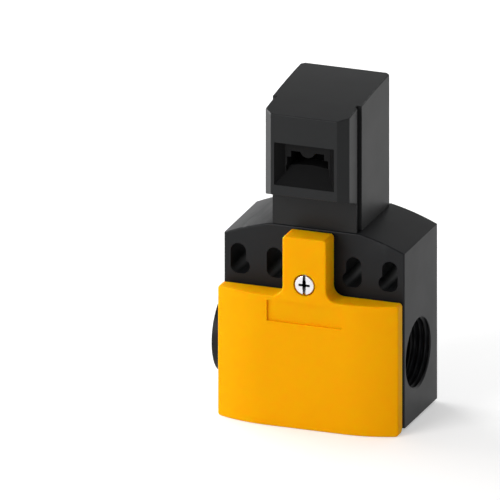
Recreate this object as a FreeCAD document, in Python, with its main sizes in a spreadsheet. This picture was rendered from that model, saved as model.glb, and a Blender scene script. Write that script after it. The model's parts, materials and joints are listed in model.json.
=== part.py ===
# Tongue interlock switch: a black enclosure with a hinged yellow cover and a head that turns.
# Frame: origin at the centre of the enclosure's bottom face, +X to the right of someone who
# faces the cover, +Y to the back, +Z up. Millimetres.
import FreeCAD, Part
import math
import os
import Sketcher
from FreeCAD import Placement, Rotation, Vector

doc = FreeCAD.newDocument("TongueInterlockSwitch")

# Driving sizes
SIZES = [
    ("bodyWidth", 50.0, "enclosure, side to side"),
    ("bodyDepth", 25.4, "enclosure, front to back"),
    ("archRadius", 61.0, "radius of the arched top"),
    ("archRise", 1.25, "height the arch would reach above the seat in the middle"),
    ("seatHeight", 52.45, "flat seat of the head"),
    ("edgeRound", 0.5, "rounding of the enclosure's front and back edges"),
    ("sideWall", 3.0, "side walls of the chamber"),
    ("floorWall", 2.6, "floor of the chamber"),
    ("backWall", 2.8, "back wall of the chamber"),
    ("chamberTop", 33.0, "ceiling of the chamber"),
    ("mouthInset", 0.4, "chamber's side walls behind the mouth's edges"),
    ("sillTop", 4.7, "sill under the mouth"),
    ("mouthDrop", 0.8, "upper edge of the mouth below the chamber's ceiling"),
    ("mouthDepth", 0.8, "depth of the mouth's rim behind the front plane"),
    ("landDepth", 1.5, "raised land that the cover closes on"),
    ("landCorner", 0.5, "corner radius of that land"),
    ("landInset", 0.6, "land's inset from the cover's outline"),
    ("slotInset", 4.0, "outer fixing slots from the side"),
    ("slotShare", 0.22, "inner fixing slots from the middle, share of the width"),
    ("slotWidth", 4.3, "fixing slots, width"),
    ("slotDrop", 14.95, "lower end of the fixing slots below the seat"),
    ("slotLength", 8.35, "fixing slots, end to end"),
    ("keyShift", 1.0, "key holes, shift towards the middle"),
    ("entryRadius", 9.2, "cable entries, minor radius of M20 x 1.5"),
    ("entryY", -2.1, "cable entries, centre from the middle plane"),
    ("entryZ", 17.5, "cable entries, height of the centres"),
    ("entryLength", 5.5, "cable entries, length of the thread"),
    ("collarWall", 1.7, "wall of the collar round a cable entry"),
    ("coverFront", 7.7, "cover's front face ahead of the enclosure's front plane"),
    ("bowSpan", 14.5, "width of the cover's bowed side"),
    ("coverBow", 36.0, "radius of the cover's bowed sides"),
    ("coverTop", 35.35, "top of the cover's shoulders"),
    ("coverDrop", 0.75, "cover's lower edge below the enclosure"),
    ("coverCorner", 0.9, "corner radius of the cover, seen from the front"),
    ("coverRound", 0.45, "rounding of the cover's front edges"),
    ("coverWall", 1.8, "wall of the cover"),
    ("tongueHalf", 6.05, "half the width of the cover's tongue"),
    ("tongueDrop", 0.2, "top of the cover's tongue below the seat"),
    ("tongueRoot", 3.0, "concave radius where the tongue leaves the shoulders"),
    ("seamGap", 0.1, "gap between the cover and the land"),
    ("nameInset", 0.1, "name recess inside the cover's flat middle"),
    ("nameHeight", 5.8, "height of the name recess"),
    ("nameDrop", 1.25, "name recess below the cover's shoulders"),
    ("nameDepth", 0.3, "depth of the name recess"),
    ("barrelRadius", 2.2, "round lower edge of the cover about the hinge"),
    ("barRadius", 0.8, "hinge bar of the cover"),
    ("hookRadius", 1.45, "hinge hook of the enclosure, outside"),
    ("hookMouth", 1.2, "mouth through which the bar snaps into the hook"),
    ("hookX", 15.0, "hinge hooks from the middle"),
    ("hookWidth", 4.0, "hinge hooks, width"),
    ("hookGap", 0.3, "clearance of a hook in its notch"),
    ("screwRise", 3.95, "cover screw above the cover's shoulders"),
    ("screwHeadRadius", 2.8, "cover screw, head"),
    ("screwHeadDepth", 1.6, "cover screw, thickness of the head"),
    ("screwCore", 1.6, "cover screw, core radius of its thread"),
    ("screwReach", 2.1, "cover screw, length in its insert"),
    ("screwWeb", 1.1, "cover material under the screw's head"),
    ("screwDriveWidth", 0.9, "slot in the head of the cover screw"),
    ("screwDriveDepth", 0.9, "depth of that slot"),
    ("shankGap", 0.45, "room round the screw's shank in the cover"),
    ("ringRadius", 2.7, "ring that keeps the screw on the cover"),
    ("ringThickness", 0.8, "thickness of that ring"),
    ("ringRest", 0.4, "ring's distance from the land"),
    ("insertRadius", 2.8, "threaded insert, outside"),
    ("insertBore", 2.03, "threaded insert, crest of its thread"),
    ("insertLength", 5.0, "threaded insert, length"),
    ("plugHeadRadius", 11.0, "blanking plug, head"),
    ("plugHeadDepth", 3.3, "blanking plug, head proud of the side"),
    ("plugRim", 0.5, "blanking plug, rim round its seal"),
    ("plugSlotHalf", 7.5, "half the length of the slot in the plug's head"),
    ("plugSlotWidth", 2.2, "width of that slot"),
    ("plugSlotDepth", 1.6, "depth of that slot"),
    ("plugWall", 2.2, "blanking plug, wall of its shank"),
    ("plugSealDepth", 0.8, "flat seal under the plug's head"),
    ("headHalf", 12.34, "half the width of the head's rear block"),
    ("headFront", 10.3, "rear block's front plane ahead of the turning axis"),
    ("headBack", 12.35, "rear block's back plane behind the turning axis"),
    ("headGap", 0.05, "head above its seat"),
    ("headChamfer", 1.6, "chamfer of the rear block's back corners"),
    ("roofRise", 20.3, "roof at the hood's front above the rotor axle"),
    ("roofRadius", 312.0, "radius of the arched roof"),
    ("roofCrest", 24.5, "crest of that arch behind the turning axis"),
    ("grooveWidth", 1.5, "seam groove between the hood and the rear block"),
    ("grooveHalf", 11.0, "half the width of the head inside the seam groove"),
    ("neckWall", 0.6, "neck plate ahead of the seam groove"),
    ("partDepth", 0.9, "parting face behind the hood's side"),
    ("hoodHalf", 11.63, "half the width of the hood"),
    ("hoodFrontHalf", 9.2, "half the width of the hood's front face"),
    ("hoodChamfer", 2.7, "depth of the hood's front chamfers"),
    ("hoodReach", 8.06, "hood's front face ahead of the neck plate"),
    ("hoodLift", 11.0, "hood's front edge above the head's underside"),
    ("hoodDrop", 3.1, "fall of the hood's underside towards the neck"),
    ("roofRound", 1.0, "rounding of the roof's back edge"),
    ("headRound", 0.3, "rounding of the head's edges"),
    ("windowHalf", 8.3, "half the width of the window"),
    ("windowRise", 0.75, "lower edge of the window above the rotor axle"),
    ("windowHeight", 11.75, "height of the window"),
    ("windowDepth", 2.76, "depth of the window"),
    ("tabSize", 1.5, "tab that locates the head front in the cavity"),
    ("guideLap", 0.7, "guide's lap behind the window's edges"),
    ("keyHalf", 5.7, "half the width of the keyed slot"),
    ("keyLift", 5.0, "lower edge of the keyed slot above the rotor axle"),
    ("keyHeight", 3.0, "height of the keyed slot"),
    ("keyRise", 0.6, "crown of the keyed slot's lower edge"),
    ("notchRise", 1.7, "height of the slot's two notches"),
    ("notchInner", 2.0, "inner side of a notch from the middle"),
    ("notchOuter", 4.6, "outer side of a notch from the middle"),
    ("notchSag", 1.5, "rounded nose between the notches"),
    ("rampDepth", 1.8, "depth of the lead-in ramp at the slot"),
    ("rampHalf", 6.0, "half the width of the lead-in ramp"),
    ("axisRise", 13.0, "rotor axle above the head's underside"),
    ("axleRadius", 1.5, "rotor axle"),
    ("axleHalf", 10.1, "half the length of the rotor axle"),
    ("cavityHalf", 8.0, "half the width of the head's cavity"),
    ("cavityBack", 9.6, "back wall of the head's cavity"),
    ("cavityLift", 3.5, "floor of the head's cavity above the head's underside"),
    ("cavityRise", 10.3, "ceiling of the head's cavity above the rotor axle"),
    ("discRadius", 8.6, "rotor's side discs"),
    ("discInner", 3.5, "inner face of a side disc from the middle"),
    ("discOuter", 6.4, "outer face of a side disc from the middle"),
    ("hubRadius", 5.0, "rotor's hub"),
    ("hubHalf", 7.7, "half the length of the rotor's hub"),
    ("camHalf", 2.3, "half the width of the rotor's cam lobes"),
    ("camReach", 9.0, "cam's reach to the plunger with the tongue out"),
    ("latchReach", 7.5, "cam's reach to the latch with the tongue out"),
    ("camTurn", 60.0, "turn of the rotor, degrees"),
    ("plungerLift", 3.0, "lift of the plunger over that turn"),
    ("latchLift", 1.5, "lift of the latch over that turn"),
    ("keyNotchWidth", 3.2, "notch in the side discs for the tongue's bar"),
    ("keyNotchFloor", 5.6, "floor of that notch from the axle"),
    ("spigotRadius", 7.5, "head's spigot"),
    ("spigotLength", 4.8, "head's spigot, length"),
    ("spigotGap", 0.08, "running clearance of the spigot"),
    ("spigotFloor", 0.2, "room under the spigot"),
    ("lockDrop", 3.8, "lower face of the lock's groove below the head's underside"),
    ("lockHeight", 1.4, "height of the lock's groove"),
    ("lockCore", 6.0, "spigot's radius in the groove"),
    ("lockHalf", 4.2, "half the width of the head lock"),
    ("lockTabDepth", 1.4, "thickness of the head lock's finger tab"),
    ("lockTabHeight", 3.0, "height of the head lock's finger tab"),
    ("sealInner", 8.4, "inner radius of the head seal's groove"),
    ("sealOuter", 9.8, "outer radius of the head seal's groove"),
    ("sealDepth", 1.0, "depth of the head seal's groove"),
    ("plungerHead", 3.2, "plunger's head, radius"),
    ("plungerHeadDepth", 1.5, "plunger's head, thickness"),
    ("plungerStem", 1.8, "plunger's stem, radius"),
    ("springBore", 3.7, "bore for the plunger's spring"),
    ("springBoreDepth", 5.4, "depth of that bore"),
    ("bushRadius", 4.0, "bore for the plunger's bush and seal"),
    ("bushDepth", 7.5, "depth of that bore"),
    ("bushLength", 3.9, "length of the bush"),
    ("fitGap", 0.05, "running clearance of shafts and pins"),
    ("restGap", 0.02, "gap between faces that press on each other"),
    ("springWire", 0.3, "wire radius of the plunger and carrier springs"),
    ("finWire", 0.22, "wire radius of the latch and contact springs"),
    ("latchHalf", 2.4, "half the width of the latch"),
    ("latchHeight", 6.4, "height of the latch"),
    ("latchRoom", 7.7, "depth of the latch's pocket"),
    ("latchGap", 0.15, "clearance of the latch in its pocket"),
    ("headScrewX", 9.5, "head screws from the middle"),
    ("headScrewRise", 16.7, "head screws above the rotor axle"),
    ("headScrewRadius", 0.95, "head screws, shank"),
    ("headScrewHead", 1.9, "head screws, head radius"),
    ("headScrewDepth", 1.5, "head screws, head thickness"),
    ("headScrewBite", 5.6, "head screws, length in the hood"),
    ("headScrewSink", 2.2, "head screws, depth of the counterbore"),
    ("blockHalf", 13.0, "half the width of the contact block"),
    ("blockFront", 6.7, "contact block's front face ahead of the plunger"),
    ("blockSplit", 2.7, "parting face of the contact block"),
    ("blockTop", 29.9, "top of the contact block"),
    ("blockScrewX", 11.0, "block screws from the middle"),
    ("blockScrewZ", 6.2, "block screws, height"),
    ("blockScrewRadius", 1.4, "block screws, shank"),
    ("blockScrewHead", 2.5, "block screws, head radius"),
    ("blockScrewDepth", 1.8, "block screws, head thickness"),
    ("blockScrewBite", 1.8, "block screws, length in the enclosure"),
    ("carrierHalf", 3.5, "half the width of the contact carrier"),
    ("carrierDepth", 2.5, "half the depth of the contact carrier"),
    ("carrierLow", 7.6, "underside of the contact carrier"),
    ("carrierSink", 0.3, "top of the contact carrier below the block's top"),
    ("channelFloor", 4.4, "floor of the carrier's channel"),
    ("lowerBridgeZ", 11.0, "lower safety bridge"),
    ("middleBridgeZ", 17.5, "middle safety bridge"),
    ("upperBridgeZ", 26.0, "upper signal bridge"),
    ("bridgeHalf", 7.6, "half the length of a bridge"),
    ("bridgeDepth", 1.3, "half the depth of a bridge"),
    ("bridgeThickness", 0.6, "thickness of a bridge"),
    ("bridgeRoom", 0.9, "room beyond the ends of a bridge"),
    ("tipRadius", 1.0, "contact tips"),
    ("tipHeight", 0.5, "height of a contact tip"),
    ("tipX", 6.5, "contact tips from the middle"),
    ("contactGap", 0.05, "gap of closed contacts"),
    ("stripThickness", 0.8, "fixed contacts, thickness"),
    ("stripInner", 5.4, "fixed contacts, inner end from the middle"),
    ("stripDepth", 1.4, "fixed contacts, half the depth of the inner end"),
    ("terminalInner", 7.6, "terminal faces, inner side from the middle"),
    ("terminalOuter", 12.6, "terminal faces, outer side from the middle"),
    ("terminalHeight", 4.75, "terminal faces, height"),
    ("terminalOffset", 1.95, "terminal screws from the middle of the strip"),
    ("terminalBite", 3.2, "terminal screws, length in the block"),
    ("terminalScrew", 1.25, "terminal screws, shank radius"),
    ("terminalHead", 2.2, "terminal screws, head radius"),
    ("terminalHeadDepth", 1.5, "terminal screws, head thickness"),
    ("clampThickness", 0.7, "terminal clamps, thickness"),
    ("springRoom", 2.1, "room for a contact spring in the carrier"),
    ("latchCoil", 1.7, "latch spring, radius of its coil"),
    ("plungerCoil", 2.9, "plunger spring, radius of its coil"),
    ("carrierCoil", 2.0, "carrier spring, radius of its coil"),
    ("contactCoil", 0.9, "contact springs, radius of their coils"),
    ("gasketDepth", 1.2, "thickness of the cover's gasket"),
    ("gasketRim", 0.15, "gasket's edge from the mouth"),
    ("slideGap", 0.1, "clearance of pieces that are put in by hand"),
    ("looseGap", 0.3, "clearance of screws and rings in their holes"),
]

sheet = doc.addObject("Spreadsheet::Sheet", "Sizes")
for row, (alias, value, meaning) in enumerate(SIZES, start=1):
    sheet.set(f"A{row}", meaning)
    sheet.set(f"B{row}", str(value))
    sheet.setAlias(f"B{row}", alias)
doc.recompute()


class Measure:
    # A length that knows its number and the sheet formula it comes from.
    def __init__(self, number, formula):
        self.number = float(number)
        self.formula = formula

    def __float__(self):
        return self.number

    def __neg__(self):
        return Measure(-self.number, f"(-1 * {self.formula})")

    def __add__(self, other):
        other = measure(other)
        return Measure(self.number + other.number, f"({self.formula} + {other.formula})")

    def __sub__(self, other):
        other = measure(other)
        return Measure(self.number - other.number, f"({self.formula} - {other.formula})")

    def __mul__(self, other):
        other = measure(other)
        return Measure(self.number * other.number, f"({self.formula} * {other.formula})")

    def __truediv__(self, other):
        other = measure(other)
        return Measure(self.number / other.number, f"({self.formula} / {other.formula})")

    __radd__ = __add__
    __rmul__ = __mul__

    def __rsub__(self, other):
        return measure(other) - self


def measure(value):
    return value if isinstance(value, Measure) else Measure(value, f"({float(value)})")


def size(alias):
    return Measure(sheet.get(alias), f"Sizes.{alias}")


def rootOf(value):
    return Measure(math.sqrt(value.number), f"sqrt({value.formula})")


def bind(thing, path, value):
    thing.setExpression(path, measure(value).formula)


def both(half):
    return (-half, half)


# Part primitives, placed by the spans they fill

def block(name, x, y, z):
    box = doc.addObject("Part::Box", name)
    for edge, place, (low, high) in zip(("Length", "Width", "Height"), "xyz", (x, y, z)):
        bind(box, edge, high - measure(low))
        bind(box, f"Placement.Base.{place}", low)
    return box


ALONG = {
    "X": Rotation(Vector(0, 1, 0), 90),
    "Y": Rotation(Vector(1, 0, 0), -90),
    "Z": Rotation(),
}


def rod(name, axis, radius, centre, span):
    cylinder = doc.addObject("Part::Cylinder", name)
    cylinder.Placement = Placement(Vector(), ALONG[axis])
    bind(cylinder, "Radius", radius)
    bind(cylinder, "Height", span[1] - measure(span[0]))
    places = list(centre)
    places.insert("XYZ".index(axis), span[0])
    for place, value in zip("xyz", places):
        bind(cylinder, f"Placement.Base.{place}", value)
    return cylinder


def fuse(name, pieces):
    joined = doc.addObject("Part::MultiFuse", name)
    joined.Shapes = pieces
    joined.Refine = True
    return joined


def cut(name, base, tools):
    tool = tools[0] if len(tools) == 1 else fuse(name + "Tools", tools)
    rest = doc.addObject("Part::Cut", name)
    rest.Base = base
    rest.Tool = tool
    rest.Refine = True
    return rest


def group(name, pieces):
    together = doc.addObject("Part::Compound", name)
    together.Links = pieces
    return together


def pipe(name, axis, outer, inner, centre, span):
    wall = rod(name + "Outside", axis, outer, centre, span)
    hole = rod(name + "Hole", axis, inner, centre, span)
    return cut(name, wall, [hole])


# PartDesign bodies: sketches on the body's own planes, pads and pockets along a world axis

NORMAL = {"XY": 1, "XZ": -1, "YZ": 1}


def newBody(node):
    body = doc.addObject("PartDesign::Body", node)
    body.Label = node
    return body


def originPlane(body, plane):
    return [f for f in body.Origin.OriginFeatures if f.Role == plane + "_Plane"][0]


def pinPoint(sketch, geometry, end, x, y):
    for kind, value in (("DistanceX", x), ("DistanceY", y)):
        number = float(measure(value))
        index = sketch.addConstraint(Sketcher.Constraint(kind, -1, 1, geometry, end, number))
        bind(sketch, f"Constraints[{index}]", value)


def arcCentre(start, finish, radius, side):
    # The centre lies to the left of the chord for side 1, to the right for side -1.
    middle = (start + finish) / 2
    chord = finish - start
    rise = math.sqrt(max(radius**2 - chord.Length**2 / 4, 0.0))
    left = Vector(-chord.y, chord.x, 0).normalize()
    return middle + left * (rise * side)


def drawOutline(sketch, points):
    # Each point is (x, y), or (x, y, radius, side) where an arc leads to the next point.
    corners = [Vector(float(measure(p[0])), float(measure(p[1])), 0) for p in points]
    ends = []
    for place, point in enumerate(points):
        start, finish = corners[place], corners[(place + 1) % len(points)]
        if len(point) == 2:
            geometry = sketch.addGeometry(Part.LineSegment(start, finish))
            ends.append((geometry, 1, 2))
            continue
        radius, side = float(measure(point[2])), point[3]
        centre = arcCentre(start, finish, radius, side)
        first, last = (start, finish) if side > 0 else (finish, start)
        angles = [math.atan2(p.y - centre.y, p.x - centre.x) for p in (first, last)]
        if angles[1] < angles[0]:
            angles[1] += 2 * math.pi
        circle = Part.Circle(centre, Vector(0, 0, 1), radius)
        geometry = sketch.addGeometry(Part.ArcOfCircle(circle, *angles))
        ends.append((geometry, 1, 2) if side > 0 else (geometry, 2, 1))
        index = sketch.addConstraint(Sketcher.Constraint("Radius", geometry, radius))
        bind(sketch, f"Constraints[{index}]", point[2])
    for place, point in enumerate(points):
        geometry, start, _ = ends[place]
        before, _, finish = ends[place - 1]
        sketch.addConstraint(Sketcher.Constraint("Coincident", before, finish, geometry, start))
        pinPoint(sketch, geometry, start, point[0], point[1])


def drawCircle(sketch, x, y, radius):
    centre = Vector(float(measure(x)), float(measure(y)), 0)
    circle = Part.Circle(centre, Vector(0, 0, 1), float(measure(radius)))
    geometry = sketch.addGeometry(circle)
    index = sketch.addConstraint(Sketcher.Constraint("Radius", geometry, circle.Radius))
    bind(sketch, f"Constraints[{index}]", radius)
    pinPoint(sketch, geometry, 3, x, y)


def rectangle(x, y):
    return [(x[0], y[0]), (x[1], y[0]), (x[1], y[1]), (x[0], y[1])]


def stadium(x, low, high, radius):
    # An upright slot with round ends.
    return [
        (x - radius, low + radius, radius, 1),
        (x, low, radius, 1),
        (x + radius, low + radius),
        (x + radius, high - radius, radius, 1),
        (x, high, radius, 1),
        (x - radius, high - radius),
    ]


def sketchOn(body, name, plane, level, outlines=(), circles=()):
    sketch = body.newObject("Sketcher::SketchObject", name + "Sketch")
    sketch.AttachmentSupport = [(originPlane(body, plane), "")]
    sketch.MapMode = "FlatFace"
    bind(sketch, "AttachmentOffset.Base.z", measure(level) * NORMAL[plane])
    for points in outlines:
        drawOutline(sketch, points)
    for x, y, radius in circles:
        drawCircle(sketch, x, y, radius)
    return sketch


def feature(kind, body, name, plane, level, length, toward, outlines=(), circles=()):
    # toward is 1 or -1 along the world axis that the sketch's plane faces.
    before = body.Shape.Volume if body.Tip else 0.0
    sketch = sketchOn(body, name, plane, level, outlines, circles)
    made = body.newObject("PartDesign::" + kind, name)
    made.Profile = sketch
    bind(made, "Length", length)
    forward = NORMAL[plane] if kind == "Pad" else -NORMAL[plane]
    made.Reversed = toward != forward
    doc.recompute()
    change = body.Shape.Volume - before
    if (change > 0) != (kind == "Pad") or abs(change) < 1e-6:
        raise ValueError(f"{body.Label}: {name} changes the volume by {change}")
    return made


def pad(*sizes, **shapes):
    return feature("Pad", *sizes, **shapes)


def pocket(*sizes, **shapes):
    return feature("Pocket", *sizes, **shapes)


def dressEdges(kind, body, name, amount, picked):
    base = body.Tip
    names = [f"Edge{i}" for i, edge in enumerate(base.Shape.Edges, start=1) if picked(edge)]
    made = body.newObject("PartDesign::" + kind, name)
    made.Base = (base, names)
    bind(made, "Radius" if kind == "Fillet" else "Size", amount)
    doc.recompute()
    return made


def lies(edge, axis, level):
    # True for an edge that lies in the plane where that axis has that value.
    box = edge.BoundBox
    low, high = getattr(box, axis + "Min"), getattr(box, axis + "Max")
    return abs(low - float(level)) < 1e-4 and abs(high - float(level)) < 1e-4


# Planes and points shared by several pieces

halfWidth = size("bodyWidth") / 2
frontY = -size("bodyDepth") / 2
backY = size("bodyDepth") / 2
landY = frontY - size("landDepth")
coverBack = landY - size("seamGap")
coverY = frontY - size("coverFront")
lidLow = -size("coverDrop")
hingeY = coverBack - size("barrelRadius")
hingeZ = lidLow + size("barrelRadius")
chamberBack = backY - size("backWall")
chamberHalf = halfWidth - size("sideWall")
innerY = coverY + size("coverWall")
seat = size("seatHeight")
mouthHalf = chamberHalf - size("mouthInset")
mouthTop = size("chamberTop") - size("mouthDrop")
outerSlotX = halfWidth - size("slotInset")
innerSlotX = size("bodyWidth") * size("slotShare")
slotLow = seat - size("slotDrop")
coverFlat = halfWidth - size("bowSpan")
screwZ = size("coverTop") + size("screwRise")
tongueTop = seat - size("tongueDrop")
headLow = seat + size("headGap")
spigotLow = headLow - size("spigotLength")
pocketFloor = spigotLow - size("spigotFloor")
bushLow = pocketFloor - size("bushDepth")
lockLow = headLow - size("lockDrop")
blockFrontY = -size("headFront")
hoodBackY = blockFrontY - size("grooveWidth")
partingY = hoodBackY + size("partDepth")
neckY = hoodBackY - size("neckWall")
hoodY = neckY - size("hoodReach")
windowY = hoodY + size("windowDepth")
axisZ = headLow + size("axisRise")
roofFront = axisZ + size("roofRise")
hoodLow = headLow + size("hoodLift")
cavityLow = headLow + size("cavityLift")
cavityTop = axisZ + size("cavityRise")
windowLow = axisZ + size("windowRise")
windowTop = windowLow + size("windowHeight")
keyLow = axisZ + size("keyLift")
keyTop = keyLow + size("keyHeight")
headScrewZ = axisZ + size("headScrewRise")
camBottom = axisZ - size("camReach")
plungerTop = camBottom - size("restGap")
latchLow = axisZ + size("latchReach") + size("restGap")
carrierTop = size("blockTop") - size("carrierSink")

past = 1  # how far a cutting tool runs past the face that it cuts


def roofAt(depth):
    # Height of the arched roof at a distance behind the turning axis.
    radius = size("roofRadius")
    back, front = size("roofCrest") - depth, size("roofCrest") - hoodY
    return roofFront + rootOf(radius * radius - back * back) - rootOf(
        radius * radius - front * front)


def lidOutline(inset, low, corner):
    # The cover from the front: a plate with a tongue up its middle, drawn smaller by inset.
    side = halfWidth - inset
    shoulder = size("coverTop") - inset
    tongue = size("tongueHalf") - inset
    top = tongueTop - inset
    fillet = size("tongueRoot") + inset
    right = [
        (side - corner, low, corner, 1),
        (side, low + corner),
        (side, shoulder - corner, corner, 1),
        (side - corner, shoulder),
        (tongue + fillet, shoulder, fillet, -1),
        (tongue, shoulder + fillet),
        (tongue, top - corner, corner, 1),
        (tongue - corner, top),
    ]
    left = [
        (corner - tongue, top, corner, 1),
        (-tongue, top - corner),
        (-tongue, shoulder + fillet, fillet, -1),
        (-tongue - fillet, shoulder),
        (corner - side, shoulder, corner, 1),
        (-side, shoulder - corner),
        (-side, low + corner, corner, 1),
        (corner - side, low),
    ]
    return right + left


# Enclosure

def makeEnclosure():
    body = newBody("enclosure")
    radius = size("archRadius")
    archCentre = seat + size("archRise") - radius
    sideTop = archCentre + rootOf(radius * radius - halfWidth * halfWidth)
    seatHalf = rootOf(radius * radius - (seat - archCentre) * (seat - archCentre))
    shell = [
        (-halfWidth, 0),
        (halfWidth, 0),
        (halfWidth, sideTop, radius, 1),
        (seatHalf, seat),
        (-seatHalf, seat, radius, 1),
        (-halfWidth, sideTop),
    ]
    pad(body, "Shell", "XZ", frontY, size("bodyDepth"), 1, outlines=[shell])
    for name, level in (("FrontEdges", frontY), ("BackEdges", backY)):
        dressEdges("Fillet", body, name, size("edgeRound"), lambda edge: lies(edge, "Y", level))
    inset = size("landInset")
    land = lidOutline(inset, inset, size("landCorner"))
    pad(body, "Land", "XZ", frontY, size("landDepth"), -1, outlines=[land])
    makeChamber(body)
    makeEntries(body)
    makeFixingSlots(body)
    makeHeadSeat(body)
    makeHooks(body)


def makeChamber(body):
    mouth = rectangle(both(mouthHalf), (size("sillTop"), mouthTop))
    mouthLength = size("landDepth") + size("mouthDepth")
    pocket(body, "Mouth", "XZ", landY, mouthLength, 1, outlines=[mouth])
    room = rectangle(both(chamberHalf), (size("floorWall"), size("chamberTop")))
    roomFront = frontY + size("mouthDepth")
    pocket(body, "Chamber", "XZ", roomFront, chamberBack - roomFront, 1, outlines=[room])
    insertHole = (0, screwZ, size("insertRadius"))
    insertRoom = size("insertLength") + size("slideGap") * 2
    pocket(body, "InsertHole", "XZ", landY, insertRoom, 1, circles=[insertHole])
    screwHoles = [(x, size("blockScrewZ"), size("blockScrewRadius"))
                  for x in both(size("blockScrewX"))]
    pocket(body, "BlockScrewHoles", "XZ", chamberBack, size("blockScrewBite") + size("slideGap"), 1,
           circles=screwHoles)


def makeEntries(body):
    centre = (size("entryY"), size("entryZ"))
    collar = centre + (size("entryRadius") + size("collarWall"),)
    length = size("entryLength") - size("sideWall")
    pad(body, "RightCollar", "YZ", chamberHalf, length, -1, circles=[collar])
    pad(body, "LeftCollar", "YZ", -chamberHalf, length, 1, circles=[collar])
    bore = centre + (size("entryRadius"),)
    width = size("bodyWidth") + past * 2
    pocket(body, "EntryBores", "YZ", -halfWidth - past, width, 1, circles=[bore])


def makeFixingSlots(body):
    radius = size("slotWidth") / 2
    places = [outerSlotX, innerSlotX]
    low, high = slotLow, slotLow + size("slotLength")
    slots = [stadium(x * hand, low, high, radius) for x in places for hand in (1, -1)]
    depth = size("bodyDepth") + past * 2
    pocket(body, "FixingSlots", "XZ", frontY - past, depth, 1, outlines=slots)
    keys = [((x - size("keyShift")) * hand, low + radius, radius)
            for x in places for hand in (1, -1)]
    pocket(body, "KeyHoles", "XZ", frontY - past, depth, 1, circles=keys)


def makeHeadSeat(body):
    spigot = (0, 0, size("spigotRadius") + size("spigotGap"))
    pocket(body, "SpigotBore", "XY", seat, seat - pocketFloor, -1, circles=[spigot])
    seal = [(0, 0, size("sealOuter")), (0, 0, size("sealInner"))]
    pocket(body, "SealGroove", "XY", seat, size("sealDepth"), -1, circles=seal)
    bush = (0, 0, size("bushRadius"))
    pocket(body, "BushBore", "XY", pocketFloor, pocketFloor - bushLow, -1,
           circles=[bush])
    stem = (0, 0, size("plungerStem") + size("slideGap") * 2)
    pocket(body, "StemBore", "XY", bushLow, bushLow - size("chamberTop") + past, -1,
           circles=[stem])
    slot = rectangle(both(size("lockHalf") + size("slideGap")),
                     (lockLow, lockLow + size("lockHeight")))
    length = -size("lockCore") - landY
    pocket(body, "LockSlot", "XZ", landY, length, 1, outlines=[slot])


def makeHooks(body):
    radius = size("hookRadius")
    root = frontY + size("edgeRound")
    hook = [
        (root, hingeZ - radius),
        (root, hingeZ + radius),
        (hingeY, hingeZ + radius, radius, 1),
        (hingeY - radius, hingeZ, radius, 1),
        (hingeY, hingeZ - radius),
    ]
    seatBore = (hingeY, hingeZ, size("barRadius") + size("fitGap"))
    half = size("hookMouth") / 2
    mouth = rectangle((hingeY - radius - past, hingeY), (hingeZ - half, hingeZ + half))
    width = size("hookWidth")
    for side, hand in (("Right", 1), ("Left", -1)):
        start = size("hookX") * hand - width / 2
        pad(body, side + "Hook", "YZ", start, width, 1, outlines=[hook])
        pocket(body, side + "HookBore", "YZ", start, width, 1, circles=[seatBore])
        pocket(body, side + "HookMouth", "YZ", start, width, 1, outlines=[mouth])


# Cover and what goes with it

def makeCover():
    body = newBody("cover")
    plate = lidOutline(measure(0), lidLow, size("coverCorner"))
    pad(body, "Plate", "XZ", coverBack, coverBack - coverY, -1, outlines=[plate])
    flat, bow = coverFlat, size("coverBow")
    span = halfWidth - flat
    bowEnd = coverY + bow - rootOf(bow * bow - span * span)
    height = tongueTop - lidLow + past * 2
    for side, hand in (("Right", 1), ("Left", -1)):
        waste = [
            (flat * hand, coverY - past),
            ((halfWidth + past) * hand, coverY - past),
            ((halfWidth + past) * hand, bowEnd),
            (halfWidth * hand, bowEnd, bow, -hand),
            (flat * hand, coverY),
        ]
        pocket(body, side + "Bow", "XY", lidLow - past, height, 1, outlines=[waste])
    barrel = [
        (hingeY, lidLow, size("barrelRadius"), 1),
        (coverBack, hingeZ),
        (coverBack + past, hingeZ),
        (coverBack + past, lidLow - past),
        (hingeY, lidLow - past),
    ]
    pocket(body, "Barrel", "YZ", -halfWidth - past, size("bodyWidth") + past * 2, 1, outlines=[barrel])
    roundFront(body)
    makeCoverInside(body)
    makeHingeBars(body)


def roundFront(body):
    # Rounds the edges between the front skin, which is flat and bowed, and the sides.
    flat, bow = float(coverFlat), float(size("coverBow"))
    front = float(coverY)

    def onSkin(point):
        beyond = max(abs(point.x) - flat, 0.0)
        skin = front + bow - math.sqrt(bow * bow - beyond * beyond)
        return abs(point.y - skin) < 1e-3

    def isRim(edge):
        seam = lies(edge, "X", flat) or lies(edge, "X", -flat)
        return not seam and all(onSkin(point) for point in edge.discretize(5))

    dressEdges("Fillet", body, "FrontEdges", size("coverRound"), isRim)


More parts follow.
